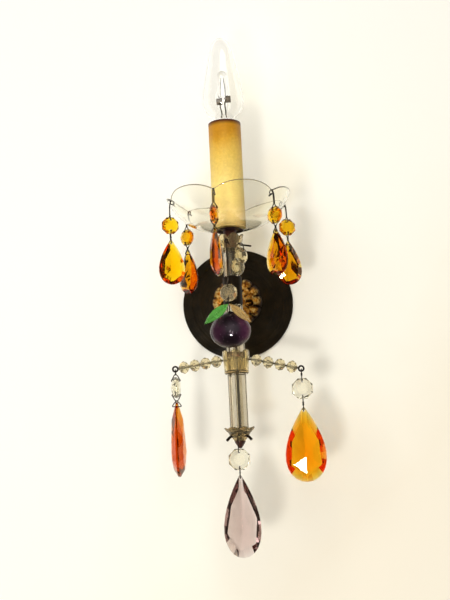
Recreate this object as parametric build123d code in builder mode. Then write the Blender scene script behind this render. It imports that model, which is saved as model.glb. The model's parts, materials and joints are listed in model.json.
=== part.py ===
from build123d import *
from math import cos, pi, radians, sin, sqrt
import os

# Crystal wall sconce, millimetres.
# The wall is the plane y = 0 and the front faces -Y. Z is up, X is to the right.
# The origin is the middle of the wall bracket, in line with the arm.

# Wall bracket, backplate and boss
bracket_length = 80.0
bracket_width = 16.0
bracket_thickness = 2.0
bracket_tab = 17.0  # the tab below the bar carries the terminal block
bush_diameter = 15.0
bush_length = 3.0
wall_hole_spacing = 60.0
wall_hole_diameter = 4.6
plate_diameter = 100.0
plate_depth = 11.0
plate_wall = 1.5
plate_rim = 3.0
plate_middle = 50.0  # diameter of the flat middle
plate_ring_step = 0.8  # depth of the grooves between the rings
boss_diameter = 45.0
boss_height = 11.0
boss_collar_diameter = 15.0
boss_lobes = 12
boss_lobe_radius = 4.6
boss_screw_reach = 11.5  # from the middle to each screw
boss_screw_drop = 2.0
boss_screw_diameter = 3.2
boss_screw_head = 6.2
boss_screw_head_height = 2.2

# Arm and stem
stem_out = 88.0
arm_diameter = 9.0
arm_bore = 6.4
arm_insert = 4.0
hub_diameter = 16.0
hub_above = 10.0
hub_below = 14.0
hub_edge = 1.2
tube_diameter = 8.0
tube_bore = 5.6
tube_insert = 6.0
rod_diameter = 3.8
rod_insert = 8.0
fit_gap = 0.1  # radial room of a tube or rod in its seat
glass_gap = 0.4  # radial room of a rod or tube in a glass bore

# Glass stack on the stem, from the hub upwards
upper_column_diameter = 13.5
upper_column_length = 21.5
upper_crown_height = 14.5
upper_crown_foot = 8.0
upper_crown_rim = 11.5
crown_wall = 2.0
crown_floor = 3.0
crown_turn = -8.0  # one notch stands this far from the front, towards -X
crown_notch = 5.5
collar_diameter = 11.0
collar_length = 14.3
pan_diameter = 24.0
pan_thickness = 1.2
pan_edge = 0.4
nut_across = 14.0
nut_height = 4.0

# Glass stack from the hub downwards
column_diameter = 15.4
column_flutes = 10
flute_depth = 0.5
long_column_length = 40.0
washer_height = 4.0
short_column_length = 11.0
middle_crown_height = 20.0
middle_crown_foot = 10.2
middle_crown_rim = 11.8
middle_crown_turn = 30.0  # a notch on each side, over the branches
lower_column_length = 46.0
tip_crown_rim = 12.9
tip_crown_lip = 2.5  # the tips stand this far above the seat
tip_crown_body = 9.0  # from the seat to the end nut
tip_crown_foot = 4.6
tip_crown_notch = 3.0
end_nut_height = 6.0
end_nut_tip = 1.2

# Glass dish under the candle
dish_base = 44.0  # diameter of the flat base
dish_rim = 106.0
dish_height = 31.0
dish_wall = 2.2
dish_scallops = 6
dish_notch = 6.5
dish_turn = -10.5
dish_hole_below_notch = 3.0

# Candle sleeve, socket and bulb
candle_diameter = 28.0
candle_wall = 1.4
candle_height = 91.8
socket_diameter = 23.0
socket_length = 44.0
socket_below_top = 2.0
socket_floor = 16.0
socket_edge = 1.0
socket_insert = 4.0  # how far the tube goes into the socket
shell_wall = 0.5
cap_diameter = 13.8
cap_gap = 0.3
cap_wall = 0.5
contact_height = 4.0
bulb_diameter = 35.0
bulb_length = 78.0
bulb_glass_wall = 0.8
bulb_neck = 12.2
capsule_diameter = 9.0
capsule_length = 25.0
capsule_above_cap = 23.0
flare_length = 12.0

# Wiring
terminal_width = 14.0
terminal_height = 10.0
terminal_depth = 5.4
lead_diameter = 1.6
lead_pitch = 1.9
lead_bend = 4.0

# Wire pins, hooks and links
wire = 1.0
wire_bend = 0.9
wire_gap = 0.45  # between a wire and the crystal's face
hole = 2.0  # bores in the crystals

# Small octagons and drops round the dish
small_octagon = 14.0
small_octagon_thickness = 6.5
small_hole_edge = 2.4
rim_stand = 2.9  # from the dish's outside at its holes to the wire each pendant hangs on
rim_hang = 13.4  # from the hole in the glass to the octagon's hole
rim_link = 10.6
rim_drop_width = 22.0
rim_drop_length = 38.3
rim_drop_thickness = 9.5
rim_places = 5  # the notch at the back, over the arm, holds none

# Large octagons and drops below
large_octagon = 17.0
large_octagon_thickness = 7.5
large_hole_edge = 2.9
large_drop_width = 33.5
large_drop_length = 61.6
large_drop_thickness = 13.0
centre_drop_width = 30.0
centre_drop_length = 66.9
centre_drop_thickness = 13.0
drop_hole_edge = 3.6
left_link = 9.9
right_link = 12.7
centre_link = 9.5
centre_hang = 14.2
centre_reach = 11.5
tip_crown_turn = -4.0
left_hang = 9.9
right_hang = 11.1

# Beaded branches
branch_wire = 1.5
branch_height = 9.0  # above the middle crown's seat
left_branch_reach = 51.0
left_branch_fall = 5.0
right_branch_reach = 53.5
right_branch_fall = 10.0
eye_radius = 2.1
branch_bead_count = 4
branch_bead_length = 8.9
branch_bead_diameter = 10.8
branch_start = 12.0

# Strands and plum on the upper crown
strand_reach = 11.2
left_strand_hang = 14.9
right_strand_hang = 6.3
strand_step_x = -2.6
strand_step_y = -10.2
strand_step_z = -1.7
plum_reach = 18.0
plum_hang = 38.9
plum_link_length = 13.4
plum_width = 34.0
plum_height = 30.0
plum_wire_depth = 2.5
plum_thickness = 19.0
leaf_length = 27.5
leaf_width = 11.0
leaf_thickness = 1.8
leaf_root = -5.3  # below the octagon's lower hole
leaf_stand = 5.5  # how far the tips stand out in front of the plum

# Levels along the stem
crown_seat = hub_above + upper_column_length
pan_bottom = crown_seat + crown_floor + collar_length
dish_bottom = pan_bottom + pan_thickness
candle_bottom = dish_bottom + dish_wall
candle_top = candle_bottom + candle_height
socket_top = candle_top - socket_below_top
socket_bottom = socket_top - socket_length
cap_top = candle_top - socket_below_top / 2
washer_top = -hub_below - long_column_length
washer_bottom = washer_top - washer_height
middle_seat = washer_bottom - short_column_length
middle_bottom = middle_seat - crown_floor
tip_seat = middle_bottom - lower_column_length
end_nut_top = tip_seat - tip_crown_body
notch_pitch = 360.0 / dish_scallops

stem_axis = Axis((0, -stem_out, 0), (0, 0, 1))
stem_side = Plane.XZ.offset(stem_out)


def level(z):
    return Plane(origin=(0, -stem_out, z))


def outward(angle):
    """Unit vector from the stem, at this angle from the front towards +X."""
    return Vector(sin(radians(angle)), -cos(radians(angle)), 0)


def stem_point(angle, reach, z):
    return Vector(0, -stem_out, z) + outward(angle) * reach


def facing(point, across):
    """Plane through point, with local x along across and local y up."""
    normal = Vector(across.Y, -across.X, 0)
    return Plane(origin=point, x_dir=across, z_dir=normal)


def save(part, name):
    part.label = name
    export_step(part, f"parts/{name}.step")


def ring_nut(z, height, across, bore):
    with BuildPart() as nut:
        with BuildSketch(level(z)):
            RegularPolygon(across / 2, 6, major_radius=False)
            Circle(bore / 2, mode=Mode.SUBTRACT)
        extrude(amount=height)
    return nut.part


def tube(z, height, outer, bore):
    with BuildPart() as piece:
        with BuildSketch(level(z)):
            Circle(outer / 2)
            Circle(bore / 2, mode=Mode.SUBTRACT)
        extrude(amount=height)
    return piece.part


def fluted_column(z, height, outer, bore, flutes):
    """Glass tube with shallow hollow flutes along it."""
    flute_radius = pi * outer / flutes / 2
    with BuildPart() as column:
        with BuildSketch(level(z)):
            Circle(outer / 2)
            with PolarLocations(outer / 2 + flute_radius - flute_depth, flutes):
                Circle(flute_radius, mode=Mode.SUBTRACT)
            Circle(bore / 2, mode=Mode.SUBTRACT)
        extrude(amount=height)
    return column.part


def bent_wire(points, diameter, bend):
    """Round wire along straight runs with rounded corners."""
    with BuildPart() as piece:
        with BuildLine() as run:
            FilletPolyline(*points, radius=bend)
        with BuildSketch(Plane(origin=run.line @ 0, z_dir=run.line % 0)):
            Circle(diameter / 2)
        sweep()
    return piece.part


def notch_cutters(turn, depth, reach, top, rounded):
    """Solids that cut a rim down between its petals, with a cusp at each notch."""
    half = reach * sin(pi / dish_scallops)
    bow = depth * (0.3 if rounded else 0.0)
    with BuildPart() as cutters:
        for k in range(dish_scallops):
            angle = turn + k * notch_pitch
            side = outward(angle + 90)
            start = stem_point(angle, reach * 0.55, top)
            with BuildSketch(Plane(origin=start, x_dir=side, z_dir=outward(angle))):
                with BuildLine():
                    if rounded:
                        ThreePointArc((0, -depth), (half / 2, bow - depth / 2), (half, 0))
                        ThreePointArc((0, -depth), (-half / 2, bow - depth / 2), (-half, 0))
                    else:
                        Line((0, -depth), (half, 0))
                        Line((0, -depth), (-half, 0))
                    Polyline((half, 0), (half, depth), (-half, depth), (-half, 0))
                make_face()
            extrude(amount=reach * 0.7)
    return cutters.part


def crown_cup(seat, foot, rim, height, bore, turn, hole_z):
    """Small glass cup with six petals and a wire hole under each notch."""
    with BuildPart() as cup:
        with BuildSketch(stem_side):
            with BuildLine():
                Polyline(
                    (bore / 2, seat),
                    (foot - crown_wall / 2, seat),
                    (foot, seat + crown_wall / 2),
                    (rim, seat + height),
                    (rim - crown_wall, seat + height),
                    (foot - crown_wall, seat + crown_floor),
                    (bore / 2, seat + crown_floor),
                    close=True,
                )
            make_face()
        revolve(axis=stem_axis)
        add(notch_cutters(turn, crown_notch, rim, seat + height, False), mode=Mode.SUBTRACT)
        for k in range(dish_scallops):
            angle = turn + k * notch_pitch
            middle = stem_point(angle, foot, hole_z)
            with BuildSketch(Plane(origin=middle, z_dir=outward(angle))):
                Circle(hole / 2)
            extrude(amount=crown_wall * 2, both=True, mode=Mode.SUBTRACT)
    return cup.part


def octagon_crystal(plane, across, thickness, hole_edge):
    """Flat octagon cut on both faces, with a hole near the top and the bottom edge."""
    girdle = thickness * 0.1
    table = across * 0.28
    with BuildPart() as bead:
        for height, reach in (
            (-thickness / 2, table),
            (-girdle, across / 2),
            (girdle, across / 2),
            (thickness / 2, table),
        ):
            with BuildSketch(plane.offset(height)):
                RegularPolygon(reach, 8, major_radius=False, rotation=22.5)
        loft(ruled=True)
        with BuildSketch(plane):
            with Locations((0, across / 2 - hole_edge), (0, hole_edge - across / 2)):
                Circle(hole / 2)
        extrude(amount=thickness, both=True, mode=Mode.SUBTRACT)
    return bead.part


def pear_outline(width, length, share):
    """Points of a pear outline with its tip up, shrunk about its widest place."""
    sides = 16
    bulge = width / 2 / (4 / (3 * sqrt(3)))
    widest = -length / 6
    points = []
    for k in range(sides):
        t = 2 * pi * k / sides
        x = bulge * sin(t) * sin(t / 2)
        y = length / 2 * cos(t)
        points.append((x * share, widest + (y - widest) * share))
    return points


def pear_crystal(plane, width, length, thickness, hole_edge):
    """Pear-shaped drop with a cut border and a flat table on both faces."""
    girdle = thickness * 0.09
    with BuildPart() as drop:
        for height, share in (
            (-thickness / 2, 0.5),
            (-girdle, 1.0),
            (girdle, 1.0),
            (thickness / 2, 0.5),
        ):
            with BuildSketch(plane.offset(height)):
                Polygon(*pear_outline(width, length, share), align=None)
        loft(ruled=True)
        with BuildSketch(plane):
            with Locations((0, length / 2 - hole_edge)):
                Circle(hole / 2)
        extrude(amount=thickness, both=True, mode=Mode.SUBTRACT)
    return drop.part


def hook_points(plane, half, top, entry):
    """Wire from the entry points down to the plane's origin, and a pin through it."""
    start = [plane.from_local_coords(p) for p in ((0, top, half), (0, 0, half), (0, 0, -half))]
    return entry + start


def loop_link(plane, length, half_top, half_bottom):
    """Bent wire loop through the hole at the plane's origin and the one below it."""
    gap = wire * 0.8
    middle = (half_top + half_bottom) / 2
    local = (
        (0, -length / 2 + gap / 2, middle),
        (0, 0, half_top),
        (0, 0, -half_top),
        (0, -length, -half_bottom),
        (0, -length, half_bottom),
        (0, -length / 2 - gap / 2, middle),
    )
    return bent_wire([plane.from_local_coords(p) for p in local], wire, wire_bend)


def pendant(prefix, plane, across, thickness, hole_edge, link, width, length, drop_thickness):
    """An octagon whose top hole is the plane's origin, a link and a pear drop."""
    octagon_centre = -(across / 2 - hole_edge)
    lower_hole = 2 * octagon_centre
    octagon_plane = facing(plane.from_local_coords((0, octagon_centre, 0)), plane.x_dir)
    save(octagon_crystal(octagon_plane, across, thickness, hole_edge), f"{prefix}_bead")
    link_plane = facing(plane.from_local_coords((0, lower_hole, 0)), plane.x_dir)
    half_top = thickness / 2 + wire_gap + wire / 2
    half_bottom = drop_thickness * 0.22 + wire_gap + wire / 2
    save(loop_link(link_plane, link, half_top, half_bottom), f"{prefix}_link")
    drop_centre = lower_hole - link + drop_hole_edge - length / 2
    drop_plane = facing(plane.from_local_coords((0, drop_centre, 0)), plane.x_dir)
    save(pear_crystal(drop_plane, width, length, drop_thickness, drop_hole_edge), f"{prefix}_drop")


os.makedirs("parts", exist_ok=True)

# Wall bracket: a bar with two screw holes, a tab below and a bush for the arm
with BuildPart() as wall_bracket:
    with BuildSketch(Plane.XZ):
        Rectangle(bracket_length, bracket_width)
        with Locations((0, -bracket_tab / 2)):
            Rectangle(bracket_width, bracket_width + bracket_tab)
    extrude(amount=bracket_thickness)
    with BuildSketch(Plane.XZ.offset(bracket_thickness)):
        Circle(bush_diameter / 2)
    extrude(amount=bush_length)
    with BuildSketch(Plane.XZ.offset(bracket_thickness)):
        Circle(arm_diameter / 2 + fit_gap)
    extrude(amount=bush_length, mode=Mode.SUBTRACT)
    with BuildSketch(Plane.XZ):
        with Locations((-wall_hole_spacing / 2, 0), (wall_hole_spacing / 2, 0)):
            Circle(wall_hole_diameter / 2)
        with Locations((-boss_screw_reach, -boss_screw_drop), (boss_screw_reach, -boss_screw_drop)):
            Circle(boss_screw_diameter / 2 + fit_gap)
    extrude(amount=bracket_thickness, mode=Mode.SUBTRACT)
save(wall_bracket.part, "wall_bracket")

# Backplate: a spun pan with raised rings, held off the wall bracket by its rim
plate_radius = plate_diameter / 2
middle_radius = plate_middle / 2
ring_width = (plate_radius - middle_radius) / 3
ring_rise = (plate_depth - plate_rim) / 3
with BuildPart() as backplate:
    with BuildSketch(Plane.XY):
        with BuildLine():
            Line((0, 0), (plate_radius, 0))
            Line((plate_radius, 0), (plate_radius, -plate_rim))
            for k in range(3):
                r = plate_radius - k * ring_width
                y = plate_rim + k * ring_rise
                inner_r = r - ring_width
                inner_y = y + ring_rise
                crest = (r - ring_width * 0.45, -inner_y)
                groove = (inner_r, -inner_y + plate_ring_step) if k < 2 else (inner_r, -inner_y)
                ThreePointArc((r, -y), (r - ring_width * 0.15, -y - ring_rise * 0.75), crest)
                Line(crest, groove)
                if k < 2:
                    Line(groove, (inner_r, -inner_y))
            Line((middle_radius, -plate_depth), (0, -plate_depth))
            Line((0, -plate_depth), (0, 0))
        make_face()
    revolve(axis=Axis.Y)
    with BuildSketch(Plane.XY):
        with BuildLine():
            Polyline(
                (0, 0),
                (plate_radius - plate_wall, 0),
                (plate_radius - plate_wall, -plate_rim + plate_wall / 2),
                (plate_radius - ring_width, -plate_rim - ring_rise + plate_ring_step + plate_wall),
                (middle_radius, -plate_depth + plate_wall),
                (0, -plate_depth + plate_wall),
                close=True,
            )
        make_face()
    revolve(axis=Axis.Y, mode=Mode.SUBTRACT)
    with BuildSketch(Plane.XZ):
        Circle(arm_diameter / 2 + glass_gap)
        with Locations((-boss_screw_reach, -boss_screw_drop), (boss_screw_reach, -boss_screw_drop)):
            Circle(boss_screw_diameter / 2 + glass_gap)
    extrude(amount=plate_depth, mode=Mode.SUBTRACT)
save(backplate.part, "backplate")

# Centre boss: a cast rosette with a ring of rounded lobes and a collar round the arm
boss_radius = boss_diameter / 2
boss_face = plate_depth + boss_height
screw_seat = plate_depth + boss_height * 0.55
with BuildPart() as centre_boss:
    with BuildSketch(Plane.XY):
        with BuildLine():
            Line((0, -plate_depth), (boss_radius - boss_lobe_radius, -plate_depth))
            ThreePointArc(
                (boss_radius - boss_lobe_radius, -plate_depth),
                (boss_radius * 0.66, -plate_depth - boss_height * 0.42),
                (boss_collar_diameter / 2, -plate_depth - boss_height * 0.75),
            )
            Polyline(
                (boss_collar_diameter / 2, -plate_depth - boss_height * 0.75),
                (boss_collar_diameter / 2, -boss_face),
                (0, -boss_face),
                (0, -plate_depth),
            )
        make_face()
    revolve(axis=Axis.Y)
    with BuildSketch(Plane.XZ.offset(plate_depth)):
        Circle(boss_radius - boss_lobe_radius)
    extrude(amount=boss_lobe_radius / 2)
    with Locations(Plane.XZ.offset(plate_depth)):
        with PolarLocations(boss_radius - boss_lobe_radius, boss_lobes):
            Sphere(boss_lobe_radius)
    split(bisect_by=Plane.XZ.offset(plate_depth), keep=Keep.TOP)
    with BuildSketch(Plane.XZ.offset(plate_depth)):
        Circle(arm_diameter / 2 + fit_gap)
        with Locations((-boss_screw_reach, -boss_screw_drop), (boss_screw_reach, -boss_screw_drop)):
            Circle(boss_screw_diameter / 2 + fit_gap)
    extrude(amount=boss_height, mode=Mode.SUBTRACT)
    with BuildSketch(Plane.XZ.offset(screw_seat)):
        with Locations((-boss_screw_reach, -boss_screw_drop), (boss_screw_reach, -boss_screw_drop)):
            Circle(boss_screw_head / 2 + fit_gap)
    extrude(amount=boss_height, mode=Mode.SUBTRACT)
save(centre_boss.part, "centre_boss")

# Two screws hold the boss and the plate to the bracket
with BuildPart() as boss_screws:
    for side in (-1, 1):
        place = (side * boss_screw_reach, -boss_screw_drop)
        with BuildSketch(Plane.XZ):
            with Locations(place):
                Circle(boss_screw_diameter / 2)
        extrude(amount=screw_seat)
        with BuildSketch(Plane.XZ.offset(screw_seat)):
            with Locations(place):
                Circle(boss_screw_head / 2)
        extrude(amount=boss_screw_head_height)
        with BuildSketch(Plane.XZ.offset(screw_seat + boss_screw_head_height / 2)):
            with Locations(place):
                Rectangle(boss_screw_head, boss_screw_head * 0.16)
        extrude(amount=boss_screw_head_height, mode=Mode.SUBTRACT)
save(boss_screws.part, "boss_screws")

# Arm: a tube from the bracket to the hub, with a slot inside the plate for the leads
arm_end = stem_out - hub_diameter / 2 + arm_insert
lead_drop_y = bracket_thickness + bush_length + lead_diameter + wire_gap
with BuildPart() as arm_tube:
    with BuildSketch(Plane.XZ.offset(bracket_thickness)):
        Circle(arm_diameter / 2)
        Circle(arm_bore / 2, mode=Mode.SUBTRACT)
    extrude(amount=arm_end - bracket_thickness)
    with BuildSketch(Plane.XY.offset(-arm_diameter)):
        with Locations((0, -lead_drop_y)):
            Rectangle(lead_pitch + lead_diameter + 2 * wire_gap, 2 * lead_diameter)
    extrude(amount=arm_diameter - arm_bore / 4, mode=Mode.SUBTRACT)
save(arm_tube.part, "arm_tube")

# Hub: joins the arm, the tube above and the rod below
with BuildPart() as stem_hub:
    with BuildSketch(level(-hub_below)):
        Circle(hub_diameter / 2)
    extrude(amount=hub_above + hub_below)
    fillet(stem_hub.edges().filter_by(GeomType.CIRCLE), radius=hub_edge)
    with BuildSketch(Plane.XZ.offset(stem_out)):
        Circle(arm_bore / 2)
    extrude(amount=-hub_diameter, mode=Mode.SUBTRACT)
    with BuildSketch(Plane.XZ.offset(arm_end)):
        Circle(arm_diameter / 2 + fit_gap)
    extrude(amount=-hub_diameter, mode=Mode.SUBTRACT)
    with BuildSketch(level(-arm_bore / 2)):
        Circle(tube_bore / 2)
    extrude(amount=arm_bore / 2 + hub_above, mode=Mode.SUBTRACT)
    with BuildSketch(level(hub_above - tube_insert)):
        Circle(tube_diameter / 2 + fit_gap)
    extrude(amount=tube_insert, mode=Mode.SUBTRACT)
    with BuildSketch(level(-hub_below)):
        Circle(rod_diameter / 2 + fit_gap)
    extrude(amount=rod_insert, mode=Mode.SUBTRACT)
save(stem_hub.part, "stem_hub")

# Tube up to the socket, and the rod that clamps the lower glass
tube_length = socket_bottom + socket_insert - hub_above + tube_insert
save(tube(hub_above - tube_insert, tube_length, tube_diameter, tube_bore), "stem_tube")
rod_top = rod_insert - hub_below
rod_bottom = end_nut_top - end_nut_height / 2
with BuildPart() as stem_rod:
    with BuildSketch(level(rod_bottom)):
        Circle(rod_diameter / 2)
    extrude(amount=rod_top - rod_bottom)
save(stem_rod.part, "stem_rod")

# Nuts, collar and washer of the stem
with BuildPart() as end_nut:
    with BuildSketch(stem_side):
        with BuildLine():
            Polyline(
                (0, end_nut_top),
                (tip_crown_foot, end_nut_top),
                (tip_crown_foot * 0.9, end_nut_top - end_nut_height * 0.25),
                (end_nut_tip, end_nut_top - end_nut_height),
                (0, end_nut_top - end_nut_height),
                close=True,
            )
        make_face()
    revolve(axis=stem_axis)
    with BuildSketch(level(rod_bottom)):
        Circle(rod_diameter / 2 + fit_gap)
    extrude(amount=end_nut_height, mode=Mode.SUBTRACT)
tube_seat = tube_diameter + 2 * fit_gap
rod_seat = rod_diameter + 2 * fit_gap
with BuildPart() as stem_nuts:
    add(ring_nut(candle_bottom, nut_height, nut_across, tube_seat))
    add(tube(crown_seat + crown_floor, collar_length, collar_diameter, tube_seat))
    add(tube(washer_bottom, washer_height, column_diameter, rod_seat))
    add(end_nut.part)
save(stem_nuts.part, "stem_nuts")

# Thin dark pan under the dish
with BuildPart() as drip_pan:
    with BuildSketch(level(pan_bottom)):
        Circle(pan_diameter / 2)
        Circle(tube_seat / 2, mode=Mode.SUBTRACT)
    extrude(amount=pan_thickness)
    rim_edges = drip_pan.edges().filter_by(GeomType.CIRCLE).group_by(SortBy.RADIUS)[-1]
    fillet(rim_edges, radius=pan_edge)
save(drip_pan.part, "drip_pan")

# Glass columns, with the tube or the rod inside them
upper_bore = tube_diameter + 2 * glass_gap
lower_bore = rod_diameter + 2 * glass_gap
with BuildPart() as glass_columns:
    add(tube(hub_above, upper_column_length, upper_column_diameter, upper_bore))
    for bottom, length in (
        (washer_top, long_column_length),
        (middle_seat, short_column_length),
        (tip_seat, lower_column_length),
    ):
        add(fluted_column(bottom, length, column_diameter, lower_bore, column_flutes))
save(glass_columns.part, "glass_columns")

# Glass crowns: cups on the upper and middle seats, and a pointed one at the bottom
upper_hole_z = crown_seat + upper_crown_height - crown_notch - dish_hole_below_notch
branch_z = middle_seat + branch_height
tip_hole_z = tip_seat - tip_crown_body / 2
with BuildPart() as tip_crown:
    with BuildSketch(stem_side):
        with BuildLine():
            Polyline(
                (lower_bore / 2, tip_seat),
                (column_diameter / 2 + glass_gap, tip_seat),
                (tip_crown_rim, tip_seat + tip_crown_lip),
                (tip_crown_rim, tip_seat + tip_crown_lip - crown_wall / 2),
                (column_diameter / 2 + glass_gap, tip_hole_z),
                (tip_crown_foot, end_nut_top),
                (lower_bore / 2, end_nut_top),
                close=True,
            )
        make_face()
    revolve(axis=stem_axis)
    tip_top = tip_seat + tip_crown_lip
    add(notch_cutters(tip_crown_turn, tip_crown_notch, tip_crown_rim, tip_top, False), mode=Mode.SUBTRACT)
    for k in range(dish_scallops):
        angle = tip_crown_turn + k * notch_pitch
        with BuildSketch(Plane(origin=stem_point(angle, tip_crown_foot, tip_hole_z), z_dir=outward(angle))):
            Circle(hole / 2)
        extrude(amount=tip_crown_rim, mode=Mode.SUBTRACT)
with BuildPart() as glass_crowns:
    upper_cup = (crown_seat, upper_crown_foot, upper_crown_rim, upper_crown_height)
    add(crown_cup(*upper_cup, tube_seat, crown_turn, upper_hole_z))
    middle_cup = (middle_bottom, middle_crown_foot, middle_crown_rim, middle_crown_height)
    add(crown_cup(*middle_cup, rod_seat, middle_crown_turn, branch_z))
    add(tip_crown.part)
save(glass_crowns.part, "glass_crowns")

# Scalloped glass dish with a hole under each notch of its rim
base_radius = dish_base / 2
rim_radius = dish_rim / 2
dish_top = dish_bottom + dish_height
dish_hole_z = dish_top - dish_notch - dish_hole_below_notch
outer_bulge = (base_radius + (rim_radius - base_radius) * 0.68, dish_bottom + dish_height * 0.45)
outer_arc = Edge.make_three_point_arc((base_radius, dish_bottom), outer_bulge, (rim_radius, dish_top))
arc_rise = dish_hole_z - outer_arc.arc_center.Y
dish_hole_reach = outer_arc.arc_center.X + sqrt(outer_arc.radius**2 - arc_rise**2)
rim_reach = dish_hole_reach + rim_stand
with BuildPart() as bobeche:
    with BuildSketch(stem_side):
        with BuildLine():
            Line((tube_seat / 2, dish_bottom), (base_radius, dish_bottom))
            ThreePointArc((base_radius, dish_bottom), outer_bulge, (rim_radius, dish_top))
            Line((rim_radius, dish_top), (rim_radius - dish_wall, dish_top))
            ThreePointArc(
                (rim_radius - dish_wall, dish_top),
                (outer_bulge[0] - dish_wall * 0.7, outer_bulge[1] + dish_wall * 0.7),
                (base_radius, candle_bottom),
            )
            Line((base_radius, candle_bottom), (tube_seat / 2, candle_bottom))
            Line((tube_seat / 2, candle_bottom), (tube_seat / 2, dish_bottom))
        make_face()
    revolve(axis=stem_axis)
    add(notch_cutters(dish_turn, dish_notch, rim_radius, dish_top, True), mode=Mode.SUBTRACT)
    for k in range(dish_scallops):
        angle = dish_turn + k * notch_pitch
        with BuildSketch(Plane(origin=stem_point(angle, dish_hole_reach, dish_hole_z), z_dir=outward(angle))):
            Circle(hole / 2)
        extrude(amount=dish_wall * 4, both=True, mode=Mode.SUBTRACT)
save(bobeche.part, "bobeche")

# Candle sleeve: a card tube that stands on the dish
save(tube(candle_bottom, candle_height, candle_diameter, candle_diameter - 2 * candle_wall), "candle_sleeve")

# Lamp socket: a moulded body with a metal screw shell and a contact in it
shell_bore = cap_diameter + 2 * cap_gap
shell_outer = shell_bore + 2 * shell_wall
with BuildPart() as socket_body:
    with BuildSketch(level(socket_bottom)):
        Circle(socket_diameter / 2)
    extrude(amount=socket_length)
    fillet(socket_body.edges().filter_by(GeomType.CIRCLE), radius=socket_edge)
    with BuildSketch(level(socket_bottom + socket_floor)):
        Circle(shell_outer / 2 + fit_gap)
    extrude(amount=socket_length, mode=Mode.SUBTRACT)
    with BuildSketch(level(socket_bottom)):
        Circle(tube_bore / 2)
    extrude(amount=socket_floor - contact_height / 2, mode=Mode.SUBTRACT)
    with BuildSketch(level(socket_bottom)):
        Circle(tube_seat / 2)
    extrude(amount=socket_insert, mode=Mode.SUBTRACT)
save(socket_body.part, "socket_body")
with BuildPart() as socket_shell:
    with BuildSketch(level(socket_bottom + socket_floor)):
        Circle(shell_outer / 2)
        Circle(shell_bore / 2, mode=Mode.SUBTRACT)
    extrude(amount=socket_length - socket_floor - socket_edge)
    with BuildSketch(level(socket_bottom + socket_floor)):
        Circle(shell_outer / 2)
    extrude(amount=shell_wall)
save(socket_shell.part, "socket_shell")

# Bulb: clear candle glass, its screw cap, and the capsule on its stem inside
cap_radius = cap_diameter / 2
contact_bottom = socket_bottom + socket_floor + shell_wall + cap_gap
with BuildPart() as bulb_cap:
    with BuildSketch(stem_side):
        with BuildLine():
            Polyline(
                (0, contact_bottom),
                (cap_radius * 0.45, contact_bottom),
                (cap_radius * 0.45, contact_bottom + contact_height / 4),
                (cap_radius, contact_bottom + contact_height),
                (cap_radius, cap_top),
                (cap_radius - cap_wall, cap_top),
                (cap_radius - cap_wall, contact_bottom + contact_height + cap_wall),
                (0, contact_bottom + contact_height / 2),
                close=True,
            )
        make_face()
    revolve(axis=stem_axis)
save(bulb_cap.part, "bulb_cap")


def bulb_solid(inset, bottom):
    """Candle-shaped solid of the bulb's glass, inset all round by the given amount."""
    reach = bulb_diameter / 2
    neck = bulb_neck / 2 - inset
    rise = bulb_length - inset
    swell = ((0.13, 0.80), (0.27, 1.00), (0.46, 0.90), (0.65, 0.73), (0.82, 0.58), (0.94, 0.40))
    points = [(neck, cap_top)]
    points += [(share * reach - inset, cap_top + up * rise) for up, share in swell]
    points += [(0, cap_top + rise)]
    with BuildPart() as solid:
        with BuildSketch(stem_side):
            with BuildLine():
                Spline(*points, tangents=((0, 1), (-1, 0)))
                Polyline(points[-1], (0, bottom), (neck, bottom), points[0])
            make_face()
        revolve(axis=stem_axis)
    return solid.part


neck_bottom = cap_top - contact_height
with BuildPart() as bulb_glass:
    add(bulb_solid(0, neck_bottom))
    add(bulb_solid(bulb_glass_wall, neck_bottom - bulb_glass_wall), mode=Mode.SUBTRACT)
save(bulb_glass.part, "bulb_glass")

capsule_bottom = cap_top + capsule_above_cap
capsule_radius = capsule_diameter / 2
flare_bottom = cap_top - contact_height
flare_top = flare_bottom + flare_length
flare_radius = bulb_neck / 2 - bulb_glass_wall - fit_gap
with BuildPart() as bulb_mount:
    with BuildSketch(stem_side):
        with BuildLine():
            Polyline(
                (0, flare_bottom),
                (flare_radius, flare_bottom),
                (flare_radius * 0.6, flare_top),
                (0, flare_top),
                close=True,
            )
        make_face()
    revolve(axis=stem_axis)
    with BuildSketch(stem_side):
        with BuildLine():
            Line((0, capsule_bottom), (capsule_radius * 0.7, capsule_bottom))
            Line((capsule_radius * 0.7, capsule_bottom), (capsule_radius, capsule_bottom + capsule_radius))
            Line(
                (capsule_radius, capsule_bottom + capsule_radius),
                (capsule_radius, capsule_bottom + capsule_length - capsule_radius),
            )
            RadiusArc(
                (capsule_radius, capsule_bottom + capsule_length - capsule_radius),
                (0, capsule_bottom + capsule_length),
                -capsule_radius,
            )
            Line((0, capsule_bottom + capsule_length), (0, capsule_bottom))
        make_face()
    revolve(axis=stem_axis)
    with BuildSketch(level(flare_top)):
        with Locations((-flare_radius * 0.4, 0), (flare_radius * 0.4, 0)):
            Circle(wire / 2)
    extrude(amount=capsule_bottom - flare_top)
save(bulb_mount.part, "bulb_mount")

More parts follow.
